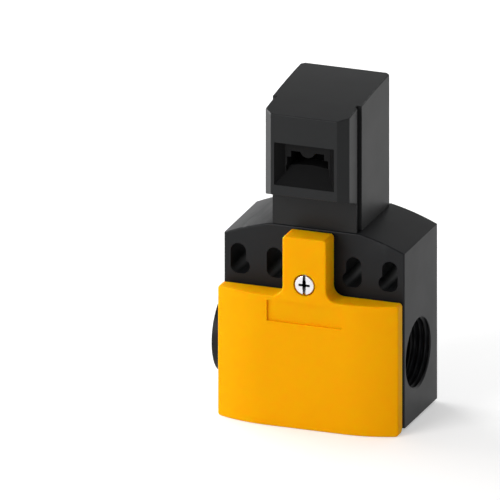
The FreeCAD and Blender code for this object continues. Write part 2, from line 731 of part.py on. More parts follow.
def makeCoverInside(body):
    wall, flat = size("coverWall"), coverFlat
    inner = halfWidth - wall
    bow = size("coverBow") - wall
    bowEnd = innerY + bow - rootOf(bow * bow - (inner - flat) * (inner - flat))
    room = [
        (-flat, innerY),
        (flat, innerY, bow, 1),
        (inner, bowEnd),
        (inner, coverBack + past),
        (-inner, coverBack + past),
        (-inner, bowEnd, bow, 1),
    ]
    low = hingeZ + size("barrelRadius")
    pocket(body, "Room", "XY", low, size("coverTop") - wall - low, 1, outlines=[room])
    bossTop = screwZ + size("ringRadius") + wall
    tongueRoom = rectangle(both(size("tongueHalf") - wall), (bossTop, tongueTop - wall))
    pocket(body, "TongueRoom", "XZ", coverBack, coverBack - innerY, -1, outlines=[tongueRoom])
    sink = size("screwHeadDepth") + size("slideGap")
    ringFloor = coverY + sink + size("screwWeb")
    ringHole = (0, screwZ, size("ringRadius") + size("looseGap"))
    pocket(body, "RingPocket", "XZ", coverBack, coverBack - ringFloor, -1, circles=[ringHole])
    headHole = (0, screwZ, size("screwHeadRadius") + size("slideGap") * 2)
    pocket(body, "HeadSink", "XZ", coverY, sink, 1, circles=[headHole])
    shankHole = (0, screwZ, size("screwCore") + size("shankGap"))
    pocket(body, "ShankHole", "XZ", coverY, coverBack - coverY, 1, circles=[shankHole])
    nameTop = size("coverTop") - size("nameDrop")
    name = rectangle(both(coverFlat - size("nameInset")), (nameTop - size("nameHeight"), nameTop))
    pocket(body, "NameRecess", "XZ", coverY, size("nameDepth"), 1, outlines=[name])


def makeHingeBars(body):
    gap = size("hookGap")
    half = size("hookWidth") / 2 + gap
    reach = size("hookRadius") + gap
    notches = [
        rectangle((size("hookX") * hand - half, size("hookX") * hand + half),
                  (lidLow - past, hingeZ + reach))
        for hand in (1, -1)
    ]
    pocket(body, "Notches", "XZ", coverBack, coverBack - hingeY + reach, -1, outlines=notches)
    bar = (hingeY, hingeZ, size("barRadius"))
    lap = size("slideGap") * 2
    for side, hand in (("Right", 1), ("Left", -1)):
        start = size("hookX") * hand - half - lap
        pad(body, side + "Bar", "YZ", start, half * 2 + lap * 2, 1, circles=[bar])


def makeCoverGasket():
    # A rubber frame inside the cover's rim, on the land round the mouth.
    clear = size("fitGap")
    outerHalf = halfWidth - size("coverWall") - clear
    low = hingeZ + size("barrelRadius") + clear
    top = size("coverTop") - size("coverWall") - clear
    across = (coverBack - size("gasketDepth"), landY - size("restGap"))
    frame = block("GasketFrame", both(outerHalf), across, (low, top))
    rim = size("gasketRim")
    hole = block("GasketHole", both(mouthHalf + rim), across,
                 (size("sillTop") - rim, mouthTop + rim))
    return cut("cover_gasket", frame, [hole])


def makeCoverScrew():
    headSeat = coverY + size("screwHeadDepth")
    top = coverY + size("fitGap")
    head = rod("ScrewHead", "Y", size("screwHeadRadius"), (0, screwZ),
               (top, headSeat + size("fitGap")))
    tip = landY + size("screwReach")
    shank = rod("ScrewShank", "Y", size("screwCore"), (0, screwZ), (headSeat, tip))
    half = size("screwDriveWidth") / 2
    reach = size("screwHeadRadius") + past
    slot = block("ScrewDrive", both(half), (top - past, top + size("screwDriveDepth")),
                 (screwZ - reach, screwZ + reach))
    return cut("cover_screw", fuse("ScrewBlank", [head, shank]), [slot])


def makeScrewRing():
    back = landY - size("ringRest")
    span = (back - size("ringThickness"), back)
    return pipe("screw_ring", "Y", size("ringRadius"), size("screwCore") + size("fitGap"),
                (0, screwZ), span)


def makeScrewInsert():
    span = (landY + size("slideGap"), landY + size("insertLength"))
    return pipe("screw_insert", "Y", size("insertRadius") - size("fitGap"), size("insertBore"),
                (0, screwZ), span)


def makeBlankingPlug():
    centre = (size("entryY"), size("entryZ"))
    outside = -halfWidth - size("plugHeadDepth")
    inside = -halfWidth - size("restGap")
    head = rod("PlugHead", "X", size("plugHeadRadius"), centre, (outside, inside))
    shankRadius = size("entryRadius") - size("slideGap")
    end = -halfWidth + size("entryLength")
    shank = rod("PlugShank", "X", shankRadius, centre, (inside, end))
    hollow = rod("PlugHollow", "X", shankRadius - size("plugWall"), centre,
                 (inside - past, end + past))
    sealOuter = size("plugHeadRadius") - size("plugRim")
    recess = rod("PlugRecess", "X", sealOuter, centre, (inside - size("plugSealDepth"), inside))
    recessCore = rod("PlugRecessCore", "X", shankRadius, centre,
                     (inside - size("plugSealDepth"), inside))
    reach, half = size("plugSlotHalf"), size("plugSlotWidth") / 2
    slot = block("PlugSlot", (outside - past, outside + size("plugSlotDepth")),
                 (centre[0] - reach, centre[0] + reach), (centre[1] - half, centre[1] + half))
    groove = cut("PlugSealGroove", recess, [recessCore])
    return cut("blanking_plug", fuse("PlugBlank", [head, shank]), [hollow, groove, slot])


def makePlugSeal():
    centre = (size("entryY"), size("entryZ"))
    inside = -halfWidth - size("restGap")
    span = (inside - size("plugSealDepth") + size("fitGap"), inside)
    outer = size("plugHeadRadius") - size("plugRim") - size("slideGap")
    return pipe("plug_seal", "X", outer, size("entryRadius"), centre, span)


# Head

def makeHeadHousing():
    body = newBody("head_housing")
    half, back = size("headHalf"), size("headBack")
    roof = size("roofRadius")
    roofRound, corner = size("roofRound"), size("headChamfer")
    roofEnd = back - roofRound
    side = [
        (blockFrontY, headLow),
        (back, headLow),
        (back, roofAt(roofEnd) - roofRound, roofRound, 1),
        (roofEnd, roofAt(roofEnd), roof, 1),
        (blockFrontY, roofAt(blockFrontY)),
    ]
    pad(body, "RearBlock", "YZ", -half, half * 2, 1, outlines=[side])
    for hand, name in ((1, "RightCorner"), (-1, "LeftCorner")):
        waste = [
            (half * hand, back - corner),
            ((half + past) * hand, back - corner),
            ((half + past) * hand, back + past),
            ((half - corner) * hand, back + past),
            ((half - corner) * hand, back),
        ]
        pocket(body, name, "XY", headLow, roofAt(back) - headLow + past, 1, outlines=[waste])
    dressEdges("Fillet", body, "BlockEdges", size("headRound"),
               lambda edge: not lies(edge, "Y", blockFrontY) and not lies(edge, "Z", headLow))
    core = [
        (partingY, headLow),
        (blockFrontY, headLow),
        (blockFrontY, roofAt(blockFrontY), roof, 1),
        (partingY, roofAt(partingY)),
    ]
    width = size("grooveHalf") * 2
    pad(body, "GrooveCore", "YZ", -size("grooveHalf"), width, 1, outlines=[core])
    cavity = rectangle(both(size("cavityHalf")), (cavityLow, cavityTop))
    pocket(body, "Cavity", "XZ", partingY, size("cavityBack") - partingY, 1, outlines=[cavity])
    makeSpigot(body)
    reach = size("axleHalf") + size("slideGap")
    bearing = size("axleRadius") + size("fitGap")
    slot = rectangle(both(reach), (axisZ - bearing, axisZ + bearing))
    pocket(body, "AxleSlots", "XZ", partingY, -partingY, 1, outlines=[slot])
    pocket(body, "AxleSeats", "YZ", -reach, reach * 2, 1, circles=[(0, axisZ, bearing)])
    room = size("latchHalf") + size("latchGap")
    latch = rectangle(both(room), both(room))
    pocket(body, "LatchPocket", "XY", cavityTop, size("latchRoom"), 1, outlines=[latch])
    places = [(x, headScrewZ) for x in both(size("headScrewX"))]
    holes = [place + (size("headScrewRadius") + size("slideGap"),) for place in places]
    pocket(body, "ScrewHoles", "XZ", back, back - partingY, -1, circles=holes)
    sinks = [place + (size("headScrewHead") + size("latchGap"),) for place in places]
    pocket(body, "ScrewSinks", "XZ", back, size("headScrewSink"), -1, circles=sinks)


def makeSpigot(body):
    length = size("spigotLength")
    pad(body, "Spigot", "XY", headLow, length, -1, circles=[(0, 0, size("spigotRadius"))])
    ring = [(0, 0, size("spigotRadius") + past), (0, 0, size("lockCore"))]
    pocket(body, "LockGroove", "XY", lockLow, size("lockHeight"), 1, circles=ring)
    low = cavityLow
    pocket(body, "SpringBore", "XY", low, size("springBoreDepth"), -1,
           circles=[(0, 0, size("springBore"))])
    pocket(body, "StemHole", "XY", low, low - spigotLow, -1,
           circles=[(0, 0, size("plungerStem") + size("slideGap"))])


def makeHeadFront():
    body = newBody("head_front")
    half, roof = size("hoodHalf"), size("roofRadius")
    side = [
        (neckY, headLow),
        (hoodBackY, headLow),
        (hoodBackY, roofAt(hoodBackY), roof, 1),
        (hoodY, roofFront),
        (hoodY, hoodLow),
        (neckY, hoodLow - size("hoodDrop")),
    ]
    pad(body, "Hood", "YZ", -half, half * 2, 1, outlines=[side])
    chamferY = hoodY + size("hoodChamfer")
    for hand, name in ((1, "RightChamfer"), (-1, "LeftChamfer")):
        corner = [
            (size("hoodFrontHalf") * hand, hoodY - past),
            ((half + past) * hand, hoodY - past),
            ((half + past) * hand, chamferY),
            (half * hand, chamferY),
            (size("hoodFrontHalf") * hand, hoodY),
        ]
        pocket(body, name, "XY", headLow, roofAt(hoodBackY) - headLow, 1, outlines=[corner])
    dressEdges("Fillet", body, "HoodEdges", size("headRound"),
               lambda edge: edge.BoundBox.YMin < float(neckY) - past)
    core = [
        (hoodBackY, headLow),
        (partingY, headLow),
        (partingY, roofAt(partingY), roof, 1),
        (hoodBackY, roofAt(hoodBackY)),
    ]
    width = size("grooveHalf") * 2
    pad(body, "Core", "YZ", -size("grooveHalf"), width, 1, outlines=[core])
    window = rectangle(both(size("windowHalf")), (windowLow, windowTop))
    pocket(body, "Window", "XZ", hoodY, size("windowDepth"), 1, outlines=[window])
    lap = size("guideLap") + size("slideGap")
    seat = rectangle(both(size("windowHalf") + lap),
                     (windowLow - lap, windowTop + lap))
    pocket(body, "GuideSeat", "XZ", partingY, partingY - windowY, -1, outlines=[seat])
    low, high = axisZ - size("axleRadius"), axisZ + size("axleRadius")
    inner, outer = size("cavityHalf") + size("latchGap"), size("axleHalf")
    fingers = [rectangle((inner, outer), (low, high)), rectangle((-outer, -inner), (low, high))]
    length = -size("axleRadius") - size("slideGap") - partingY
    pad(body, "AxleFingers", "XZ", partingY, length, 1, outlines=fingers)
    tab = rectangle(both(size("cavityHalf") - size("slideGap")),
                    (cavityLow + size("fitGap"), cavityLow + size("tabSize")))
    pad(body, "LocatingTab", "XZ", partingY, size("tabSize"), 1, outlines=[tab])
    holes = [(x, headScrewZ, size("headScrewRadius") + size("fitGap"))
             for x in both(size("headScrewX"))]
    bite = size("headScrewBite") + size("slideGap") * 2
    pocket(body, "ScrewHoles", "XZ", partingY, bite, -1, circles=holes)


def makeEntryGuide():
    body = newBody("entry_guide")
    lap = size("guideLap")
    face = rectangle(both(size("windowHalf") + lap),
                     (windowLow - lap, windowTop + lap))
    pad(body, "Insert", "XZ", windowY, partingY - windowY - size("restGap"), 1, outlines=[face])
    half, low, top = size("keyHalf"), keyLow, keyTop
    rise, notch = size("keyRise"), top + size("notchRise")
    inner, outer = size("notchInner"), size("notchOuter")
    crown = (half * half + rise * rise) / (rise * 2)
    sag = size("notchSag")
    nose = (inner * inner + sag * sag) / (sag * 2)
    slot = [
        (-half, low, crown, -1),
        (half, low),
        (half, top),
        (outer, top),
        (outer, notch),
        (inner, notch, nose, -1),
        (-inner, notch),
        (-outer, notch),
        (-outer, top),
        (-half, top),
    ]
    pocket(body, "KeyedSlot", "XZ", windowY, partingY - windowY, 1, outlines=[slot])
    lip = low + rise
    ramp = [
        (windowY, windowLow),
        (windowY + size("rampDepth"), lip),
        (windowY, lip),
    ]
    pocket(body, "Ramp", "YZ", -size("rampHalf"), size("rampHalf") * 2, 1, outlines=[ramp])


def makeHeadScrews():
    screws = []
    back = size("headBack") - size("headScrewSink")
    for hand in (1, -1):
        centre = (size("headScrewX") * hand, headScrewZ)
        head = rod("HeadScrewHead", "Y", size("headScrewHead"), centre,
                   (back, back + size("headScrewDepth")))
        shank = rod("HeadScrewShank", "Y", size("headScrewRadius"), centre,
                    (partingY - size("headScrewBite"), back))
        screws.append(fuse("HeadScrew", [head, shank]))
    return group("head_screws", screws)


def makeHeadSeal():
    gap = size("fitGap")
    return pipe("head_seal", "Z", size("sealOuter") - gap, size("sealInner") + gap, (0, 0),
                (seat - size("sealDepth") + gap, seat))


def makeHeadLock():
    # A plate whose hollow end lies in the groove of the spigot, with a tab to pull it by.
    gap = size("slideGap")
    low = lockLow + gap
    high = lockLow + size("lockHeight") - gap
    face = landY - size("looseGap")
    plate = block("LockPlate", both(size("lockHalf")), (face, -size("lockCore") / 2),
                  (low, high))
    hollow = rod("LockHollow", "Z", size("lockCore") + gap, (0, 0), (low - past, high + past))
    tabHalf = size("tongueHalf") - size("coverWall") - size("looseGap")
    tabTop = tongueTop - size("coverWall") - size("looseGap")
    tab = block("LockTab", both(tabHalf), (face - size("lockTabDepth"), face),
                (tabTop - size("lockTabHeight"), tabTop))
    return cut("head_lock", fuse("LockBlank", [plate, tab]), [hollow])


# Rotor: a follower with a flat face moves in step with the turn when the lobe is an involute,
# so each lobe's support h falls or grows evenly with the angle and its point is h n + h' t.

def lobePoints(reach, slope, first, last, count=9):
    points = []
    for step in range(count):
        angle = first + (last - first) * step / (count - 1)
        support = reach + slope * angle
        outward = Vector(0, math.sin(angle), -math.cos(angle))
        along = Vector(0, math.cos(angle), math.sin(angle))
        points.append(outward * support + along * slope)
    return points


def lobeSolid(reach, slope, half):
    margin = math.radians(4)
    points = lobePoints(reach, slope, -margin, math.radians(float(size("camTurn"))) + margin)
    curve = Part.BSplineCurve()
    curve.interpolate(points)
    flank = Part.LineSegment(Vector(), points[0]).toShape()
    end = Part.LineSegment(points[-1], Vector()).toShape()
    face = Part.Face(Part.Wire([flank, curve.toShape(), end]))
    solid = face.extrude(Vector(2 * half, 0, 0))
    solid.translate(Vector(-half, 0, 0))
    return solid


def makeCamRotor():
    turn = math.radians(float(size("camTurn")))
    camHalf = float(size("camHalf"))
    plungerSlope = -float(size("plungerLift")) / turn
    latchSlope = float(size("latchLift")) / turn
    lower = lobeSolid(float(size("camReach")), plungerSlope, camHalf)
    upper = lobeSolid(float(size("latchReach")), latchSlope, camHalf)
    upper.rotate(Vector(), Vector(1, 0, 0), 180)
    along = Vector(1, 0, 0)
    hubHalf = float(size("hubHalf"))
    hub = Part.makeCylinder(float(size("hubRadius")), 2 * hubHalf, Vector(-hubHalf, 0, 0), along)
    inner, outer = float(size("discInner")), float(size("discOuter"))
    width = float(size("keyNotchWidth"))
    floor = float(size("keyNotchFloor"))
    discs = []
    for start in (inner, -outer):
        disc = Part.makeCylinder(float(size("discRadius")), outer - inner,
                                 Vector(start, 0, 0), along)
        notch = Part.makeBox(outer - inner, width, float(size("discRadius")))
        notch.translate(Vector(start, -width / 2, floor))
        notch.rotate(Vector(), along, 45)
        discs.append(disc.cut(notch))
    bore = Part.makeCylinder(float(size("axleRadius") + size("fitGap")), 2 * hubHalf,
                             Vector(-hubHalf, 0, 0), along)
    solid = hub.fuse([lower, upper] + discs).removeSplitter().cut(bore)
    rotor = doc.addObject("Part::Feature", "cam_rotor")
    rotor.Shape = solid
    rotor.Placement = Placement(Vector(0, 0, float(axisZ)), Rotation())
    return rotor


def makeRotorAxle():
    return rod("rotor_axle", "X", size("axleRadius"), (0, axisZ), both(size("axleHalf")))


def makeLatch():
    half = size("latchHalf")
    return block("retaining_latch", both(half), both(half),
                 (latchLow, latchLow + size("latchHeight")))


# Springs: a four-sided wire along a helix

def makeSpring(node, coil, wire, low, high, turns):
    radius, thick = float(measure(coil)), float(measure(wire))
    bottom, top = float(measure(low)) + thick, float(measure(high)) - thick
    height = top - bottom
    helix = Part.makeHelix(height / turns, height, radius)
    steps = ((1, 0), (0, 1), (-1, 0), (0, -1), (1, 0))
    section = Part.makePolygon([Vector(radius + thick * out, 0, thick * up) for out, up in steps])
    spring = doc.addObject("Part::Feature", node)
    spring.Shape = Part.Wire(helix.Edges).makePipeShell([section], True, True)
    spring.Placement = Placement(Vector(0, 0, bottom), Rotation())
    return spring


def makeSprings():
    gap = size("restGap") * 2
    latchTop = latchLow + size("latchHeight")
    ceiling = cavityTop + size("latchRoom")
    makeSpring("latch_spring", size("latchCoil"), size("finWire"), latchTop + gap,
               ceiling - gap, 3)
    floor = cavityLow - size("springBoreDepth")
    under = plungerTop - size("plungerHeadDepth")
    makeSpring("plunger_spring", size("plungerCoil"), size("springWire"), floor + gap,
               under - gap, 3)
    makeSpring("carrier_spring", size("carrierCoil"), size("springWire"),
               size("channelFloor") + gap, size("carrierLow") - gap, 2)


# Plunger and its guide

def makePlunger():
    under = plungerTop - size("plungerHeadDepth")
    head = rod("PlungerHead", "Z", size("plungerHead"), (0, 0), (under, plungerTop))
    stem = rod("PlungerStem", "Z", size("plungerStem"), (0, 0),
               (carrierTop + size("restGap"), under))
    return fuse("plunger", [head, stem])


def makePlungerGuide():
    bore = size("plungerStem") + size("fitGap")
    outer = size("bushRadius") - size("fitGap")
    low = bushLow + size("restGap")
    high = low + size("bushLength")
    bush = pipe("plunger_bush", "Z", outer, bore, (0, 0), (low, high))
    seal = pipe("plunger_seal", "Z", outer, bore, (0, 0),
                (high + size("restGap"), pocketFloor - size("slideGap")))
    return [bush, seal]


# Contact block: a pole is a bridge in the carrier and a fixed contact on each side

POLES = [
    ("lower", size("lowerBridgeZ"), 1),
    ("middle", size("middleBridgeZ"), 1),
    ("upper", size("upperBridgeZ"), -1),
]


def stripSpan(bridgeZ, lifts):
    # lifts is 1 for a safety pole, closed by lifting, and -1 for the signal pole.
    near = size("bridgeThickness") / 2 + size("tipHeight") * 2 + size("contactGap")
    if lifts > 0:
        low = bridgeZ + near + size("plungerLift")
    else:
        low = bridgeZ - near - size("stripThickness")
    return low, low + size("stripThickness")


def terminalZ(bridgeZ, lifts):
    low, high = stripSpan(bridgeZ, lifts)
    return (low + high) / 2 - size("terminalOffset") * lifts


def makeBlock():
    half, top = size("blockHalf"), size("blockTop")
    split, face = -size("blockSplit"), -size("blockFront")
    low = size("floorWall")
    rear = block("BlockRear", both(half), (split, chamberBack), (low, top))
    gap = size("slideGap")
    hollows = [block("Channel", both(size("carrierHalf") + gap),
                     (split - past, size("carrierDepth") + gap), (size("channelFloor"), top + past))]
    passages = []
    inner, outer = size("terminalInner") - gap, size("terminalOuter") + gap
    reach = size("bridgeHalf") + size("bridgeRoom")
    for name, bridgeZ, lifts in POLES:
        low_, high_ = stripSpan(bridgeZ, lifts)
        strip = (low_ - gap / 2, high_ + gap / 2)
        hollows.append(block("StripSlot", both(outer), (split - past, size("stripDepth") + gap),
                             strip))
        if lifts > 0:
            room = (bridgeZ - size("bridgeThickness"), high_)
        else:
            room = (low_, bridgeZ + size("plungerLift") + size("bridgeThickness"))
        depth = size("bridgeDepth") + size("looseGap")
        hollows.append(block("BridgeRoom", both(reach), (split - past, depth), room))
        for across in ((inner, outer), (-outer, -inner)):
            passages.append(block("StripPassage", across, (face - past, split + past), strip))
        for hand in (1, -1):
            centre = ((inner + outer) / 2 * hand, terminalZ(bridgeZ, lifts))
            passages.append(rod("TerminalHole", "Y", size("terminalScrew") + size("fitGap"),
                                centre, (face - past, face + size("terminalBite"))))
    for hand in (1, -1):
        centre = (size("blockScrewX") * hand, size("blockScrewZ"))
        hole = size("blockScrewRadius") + size("fitGap")
        hollows.append(rod("RearScrewHole", "Y", hole, centre, (split - past, chamberBack + past)))
        passages.append(rod("FrontScrewHole", "Y", hole, centre, (face - past, split + past)))
    base = cut("block_base", rear, hollows)
    plate = block("BlockPlate", both(half), (face, split), (low, top))
    return [base, cut("block_front", plate, passages)]


def makeFixedContact(name, bridgeZ, lifts, hand):
    low, high = stripSpan(bridgeZ, lifts)
    inner, outer = size("terminalInner"), size("terminalOuter")
    face = -size("blockFront")
    front = face - size("stripThickness")

    def across(near, far):
        return (near, far) if hand > 0 else (-far, -near)

    end = block("StripEnd", across(size("stripInner"), outer), both(size("stripDepth")),
                (low, high))
    arm = block("StripArm", across(inner, outer), (front, size("stripDepth")), (low, high))
    if lifts > 0:
        upright = (high - size("terminalHeight"), high)
        tipSpan = (low - size("tipHeight"), low)
    else:
        upright = (low, low + size("terminalHeight"))
        tipSpan = (high, high + size("tipHeight"))
    plate = block("TerminalPlate", across(inner, outer), (front, face), upright)
    tip = rod("FixedTip", "Z", size("tipRadius"), (size("tipX") * hand, 0), tipSpan)
    hole = rod("PlateHole", "Y", size("terminalScrew") + size("fitGap"),
               ((inner + outer) / 2 * hand, terminalZ(bridgeZ, lifts)), (front - past, face + past))
    blank = fuse("ContactBlank", [end, arm, plate, tip])
    side = "right" if hand > 0 else "left"
    return cut(f"fixed_contact_{name}_{side}", blank, [hole])


def makeBridge(name, bridgeZ, lifts):
    half = size("bridgeThickness") / 2
    strip = block("BridgeStrip", both(size("bridgeHalf")), both(size("bridgeDepth")),
                  (bridgeZ - half, bridgeZ + half))
    if lifts > 0:
        tipSpan = (bridgeZ + half, bridgeZ + half + size("tipHeight"))
    else:
        tipSpan = (bridgeZ - half - size("tipHeight"), bridgeZ - half)
    tips = [rod("BridgeTip", "Z", size("tipRadius"), (x, 0), tipSpan)
            for x in both(size("tipX"))]
    return fuse(f"bridge_{name}", [strip] + tips)


def carrierWindow(bridgeZ, lifts):
    # The bridge rests on one side of its window and its spring presses from the other.
    half = size("bridgeThickness") / 2
    if lifts > 0:
        return (bridgeZ - half - size("springRoom"), bridgeZ + half + size("restGap"))
    return (bridgeZ - half - size("restGap"), bridgeZ + half + size("springRoom"))


def makeCarrier():
    across, along = both(size("carrierHalf")), both(size("carrierDepth"))
    bar = block("CarrierBar", across, along, (size("carrierLow"), carrierTop))
    windows = [
        block("CarrierWindow", both(size("carrierHalf") + past),
              both(size("bridgeDepth") + size("slideGap")), carrierWindow(bridgeZ, lifts))
        for name, bridgeZ, lifts in POLES
    ]
    return cut("contact_carrier", bar, windows)


def makeContactSprings():
    half = size("bridgeThickness") / 2
    gap = size("restGap") * 2
    for name, bridgeZ, lifts in POLES:
        low, high = carrierWindow(bridgeZ, lifts)
        if lifts > 0:
            high = bridgeZ - half
        else:
            low = bridgeZ + half
        makeSpring(f"contact_spring_{name}", size("contactCoil"), size("finWire"), low + gap,
                   high - gap, 2)


def makeTerminals():
    face = -size("blockFront") - size("stripThickness")
    clampFront = face - size("clampThickness")
    middle = (size("terminalInner") + size("terminalOuter")) / 2
    half, room = size("terminalHead"), size("slideGap") * 2
    screws, clamps = [], []
    for name, bridgeZ, lifts in POLES:
        for hand in (1, -1):
            x, z = middle * hand, terminalZ(bridgeZ, lifts)
            shank = size("terminalScrew")
            head = rod("TerminalHead", "Y", half, (x, z),
                       (clampFront - size("terminalHeadDepth"), clampFront))
            stem = rod("TerminalShank", "Y", shank, (x, z),
                       (clampFront, -size("blockFront") + size("terminalBite") - room))
            screws.append(fuse("TerminalScrew", [head, stem]))
            plate = block("ClampPlate", (x - half, x + half), (clampFront, face),
                          (z - half, z + half))
            hole = rod("ClampHole", "Y", shank + size("fitGap"), (x, z),
                       (clampFront - past, face + past))
            clamps.append(cut("Clamp", plate, [hole]))
    return [group("terminal_screws", screws), group("terminal_clamps", clamps)]


def makeBlockScrews():
    screws = []
    face = -size("blockFront")
    for hand in (1, -1):
        centre = (size("blockScrewX") * hand, size("blockScrewZ"))
        head = rod("BlockScrewHead", "Y", size("blockScrewHead"), centre,
                   (face - size("blockScrewDepth"), face))
        shank = rod("BlockScrewShank", "Y", size("blockScrewRadius") - size("fitGap"), centre,
                    (face, chamberBack + size("blockScrewBite")))
        screws.append(fuse("BlockScrew", [head, shank]))
    return group("block_screws", screws)


makeEnclosure()
makeCover()
makeCoverGasket()
makeCoverScrew()
makeScrewRing()
makeScrewInsert()
makeBlankingPlug()
makePlugSeal()
makeHeadHousing()
makeHeadFront()
makeEntryGuide()
makeHeadScrews()
makeHeadSeal()
makeHeadLock()
makeCamRotor()
makeRotorAxle()
makeLatch()
makeSprings()
makePlunger()
makePlungerGuide()
makeBlock()
makeCarrier()
makeContactSprings()
makeTerminals()
makeBlockScrews()
for name, bridgeZ, lifts in POLES:
    makeBridge(name, bridgeZ, lifts)
    for hand in (1, -1):
        makeFixedContact(name, bridgeZ, lifts, hand)
doc.recompute()

# Check every object, then write each sub-part to its own file

NODES = [
    "enclosure", "cover", "cover_gasket", "cover_screw", "screw_ring", "screw_insert",
    "blanking_plug", "plug_seal", "head_housing", "head_front", "entry_guide", "head_screws",
    "head_seal", "head_lock", "cam_rotor", "rotor_axle", "retaining_latch", "latch_spring",
    "plunger", "plunger_spring", "plunger_bush", "plunger_seal", "block_base", "block_front",
    "block_screws", "contact_carrier", "carrier_spring", "terminal_screws", "terminal_clamps",
]
for name, bridgeZ, lifts in POLES:
    NODES += [f"bridge_{name}", f"contact_spring_{name}"]
    NODES += [f"fixed_contact_{name}_{side}" for side in ("left", "right")]

for thing in doc.Objects:
    if {"Invalid", "Error"} & set(thing.State):
        raise RuntimeError(f"{thing.Label} is {thing.State}")

os.makedirs("parts", exist_ok=True)
for node in NODES:
    shape = doc.getObject(node).Shape
    if shape.isNull() or not shape.isValid() or not shape.Solids:
        raise RuntimeError(f"{node} has no valid solid")
    shape.exportStep(f"parts/{node}.step")
    print(node, len(shape.Solids), round(shape.Volume, 2))
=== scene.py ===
# Tongue interlock switch: finishes, threads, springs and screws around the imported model.
# Lengths in the dictionaries are millimetres, but for the lamps; mm turns them into metres.
import json
import math

import bmesh
import bpy
import numpy as np
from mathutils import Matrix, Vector


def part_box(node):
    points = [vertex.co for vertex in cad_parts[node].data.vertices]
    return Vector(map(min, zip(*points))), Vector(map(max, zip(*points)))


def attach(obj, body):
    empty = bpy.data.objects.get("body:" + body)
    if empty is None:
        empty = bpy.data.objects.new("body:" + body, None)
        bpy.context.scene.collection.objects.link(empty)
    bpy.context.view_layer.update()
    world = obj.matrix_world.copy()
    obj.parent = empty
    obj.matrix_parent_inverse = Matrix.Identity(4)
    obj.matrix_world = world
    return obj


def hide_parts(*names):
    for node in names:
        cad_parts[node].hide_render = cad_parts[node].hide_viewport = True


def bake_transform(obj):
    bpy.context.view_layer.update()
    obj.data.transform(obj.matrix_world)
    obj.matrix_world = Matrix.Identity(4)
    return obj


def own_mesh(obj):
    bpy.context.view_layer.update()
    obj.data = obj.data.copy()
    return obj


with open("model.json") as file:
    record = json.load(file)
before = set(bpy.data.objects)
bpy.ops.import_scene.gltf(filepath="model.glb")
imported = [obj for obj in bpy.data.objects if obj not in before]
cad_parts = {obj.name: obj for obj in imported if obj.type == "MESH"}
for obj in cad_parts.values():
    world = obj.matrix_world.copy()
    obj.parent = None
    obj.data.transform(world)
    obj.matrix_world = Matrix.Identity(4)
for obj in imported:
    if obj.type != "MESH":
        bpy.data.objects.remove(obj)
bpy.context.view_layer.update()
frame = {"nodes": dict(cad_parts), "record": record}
nodes = frame["nodes"]
slotOf = {row["node"]: row["material_slot"] for row in frame["record"]["subparts"]}
bodyOf = {node: body for body, members in frame["record"]["behaviour"]["bodies"].items()
          for node in members}
mm = 0.001


# Finishes. Every pattern reads Object coordinates, so it stays on its piece.

def startFinish(name):
    finish = bpy.data.materials.new(name)
    finish.use_nodes = True
    tree = finish.node_tree
    place = tree.nodes.new("ShaderNodeTexCoord").outputs["Object"]
    return finish, tree, tree.nodes["Principled BSDF"], place


def addNoise(tree, place, size, detail=3.0, stretch=(1, 1, 1)):
    # size is about the width of one speck in millimetres.
    turn = tree.nodes.new("ShaderNodeMapping")
    turn.inputs["Scale"].default_value = stretch
    noise = tree.nodes.new("ShaderNodeTexNoise")
    noise.inputs["Scale"].default_value = 1 / (size * mm)
    noise.inputs["Detail"].default_value = detail
    tree.links.new(place, turn.inputs["Vector"])
    tree.links.new(turn.outputs["Vector"], noise.inputs["Vector"])
    return noise.outputs["Fac"]


def remap(tree, value, low, high, start=0.3, stop=0.7):
    # Noise lies mostly between start and stop; that span becomes low to high.
    span = tree.nodes.new("ShaderNodeMapRange")
    span.inputs["From Min"].default_value = start
    span.inputs["From Max"].default_value = stop
    span.inputs["To Min"].default_value = low
    span.inputs["To Max"].default_value = high
    tree.links.new(value, span.inputs["Value"])
    return span.outputs["Result"]


def mixColours(tree, value, first, second):
    # Each colour is three numbers, or the output of another node.
    mix = tree.nodes.new("ShaderNodeMix")
    mix.data_type = "RGBA"
    for socket, colour in (("A", first), ("B", second)):
        if isinstance(colour, tuple):
            mix.inputs[socket].default_value = (*colour, 1)
        else:
            tree.links.new(colour, mix.inputs[socket])
    tree.links.new(value, mix.inputs["Factor"])
    return mix.outputs["Result"]


def addBump(tree, shader, heights):
    # Each of heights is (pattern, height in millimetres); one bump rests on the other.
    normal = None
    for value, height in heights:
        bump = tree.nodes.new("ShaderNodeBump")
        bump.inputs["Distance"].default_value = height * mm
        tree.links.new(value, bump.inputs["Height"])
        if normal:
            tree.links.new(normal, bump.inputs["Normal"])
        normal = bump.outputs["Normal"]
    tree.links.new(normal, shader.inputs["Normal"])


def mouldedFinish(name, look, spot=0.6):
    # Moulded plastic or rubber: fine grain of the mould, slow sink waves, and gloss that
    # changes in spots, spot times as wide as the clouds of colour.
    finish, tree, shader, place = startFinish(name)
    grain = addNoise(tree, place, look["grain"], 2.0)
    cloud = addNoise(tree, place, look["cloud"])
    colour = mixColours(tree, remap(tree, cloud, 0, 1), look["colour"], look["other"])
    tree.links.new(colour, shader.inputs["Base Color"])
    gloss = remap(tree, addNoise(tree, place, look["cloud"] * spot), *look["roughness"])
    tree.links.new(gloss, shader.inputs["Roughness"])
    shader.inputs["Specular IOR Level"].default_value = look["specular"]
    if "depth" in look:
        shader.inputs["Subsurface Weight"].default_value = look["depth"]
        shader.inputs["Subsurface Radius"].default_value = look["spread"]
        shader.inputs["Subsurface Scale"].default_value = look["scatter"] * mm
    addBump(tree, shader, [(cloud, look["wave"]), (grain, look["grainHeight"])])
    return finish


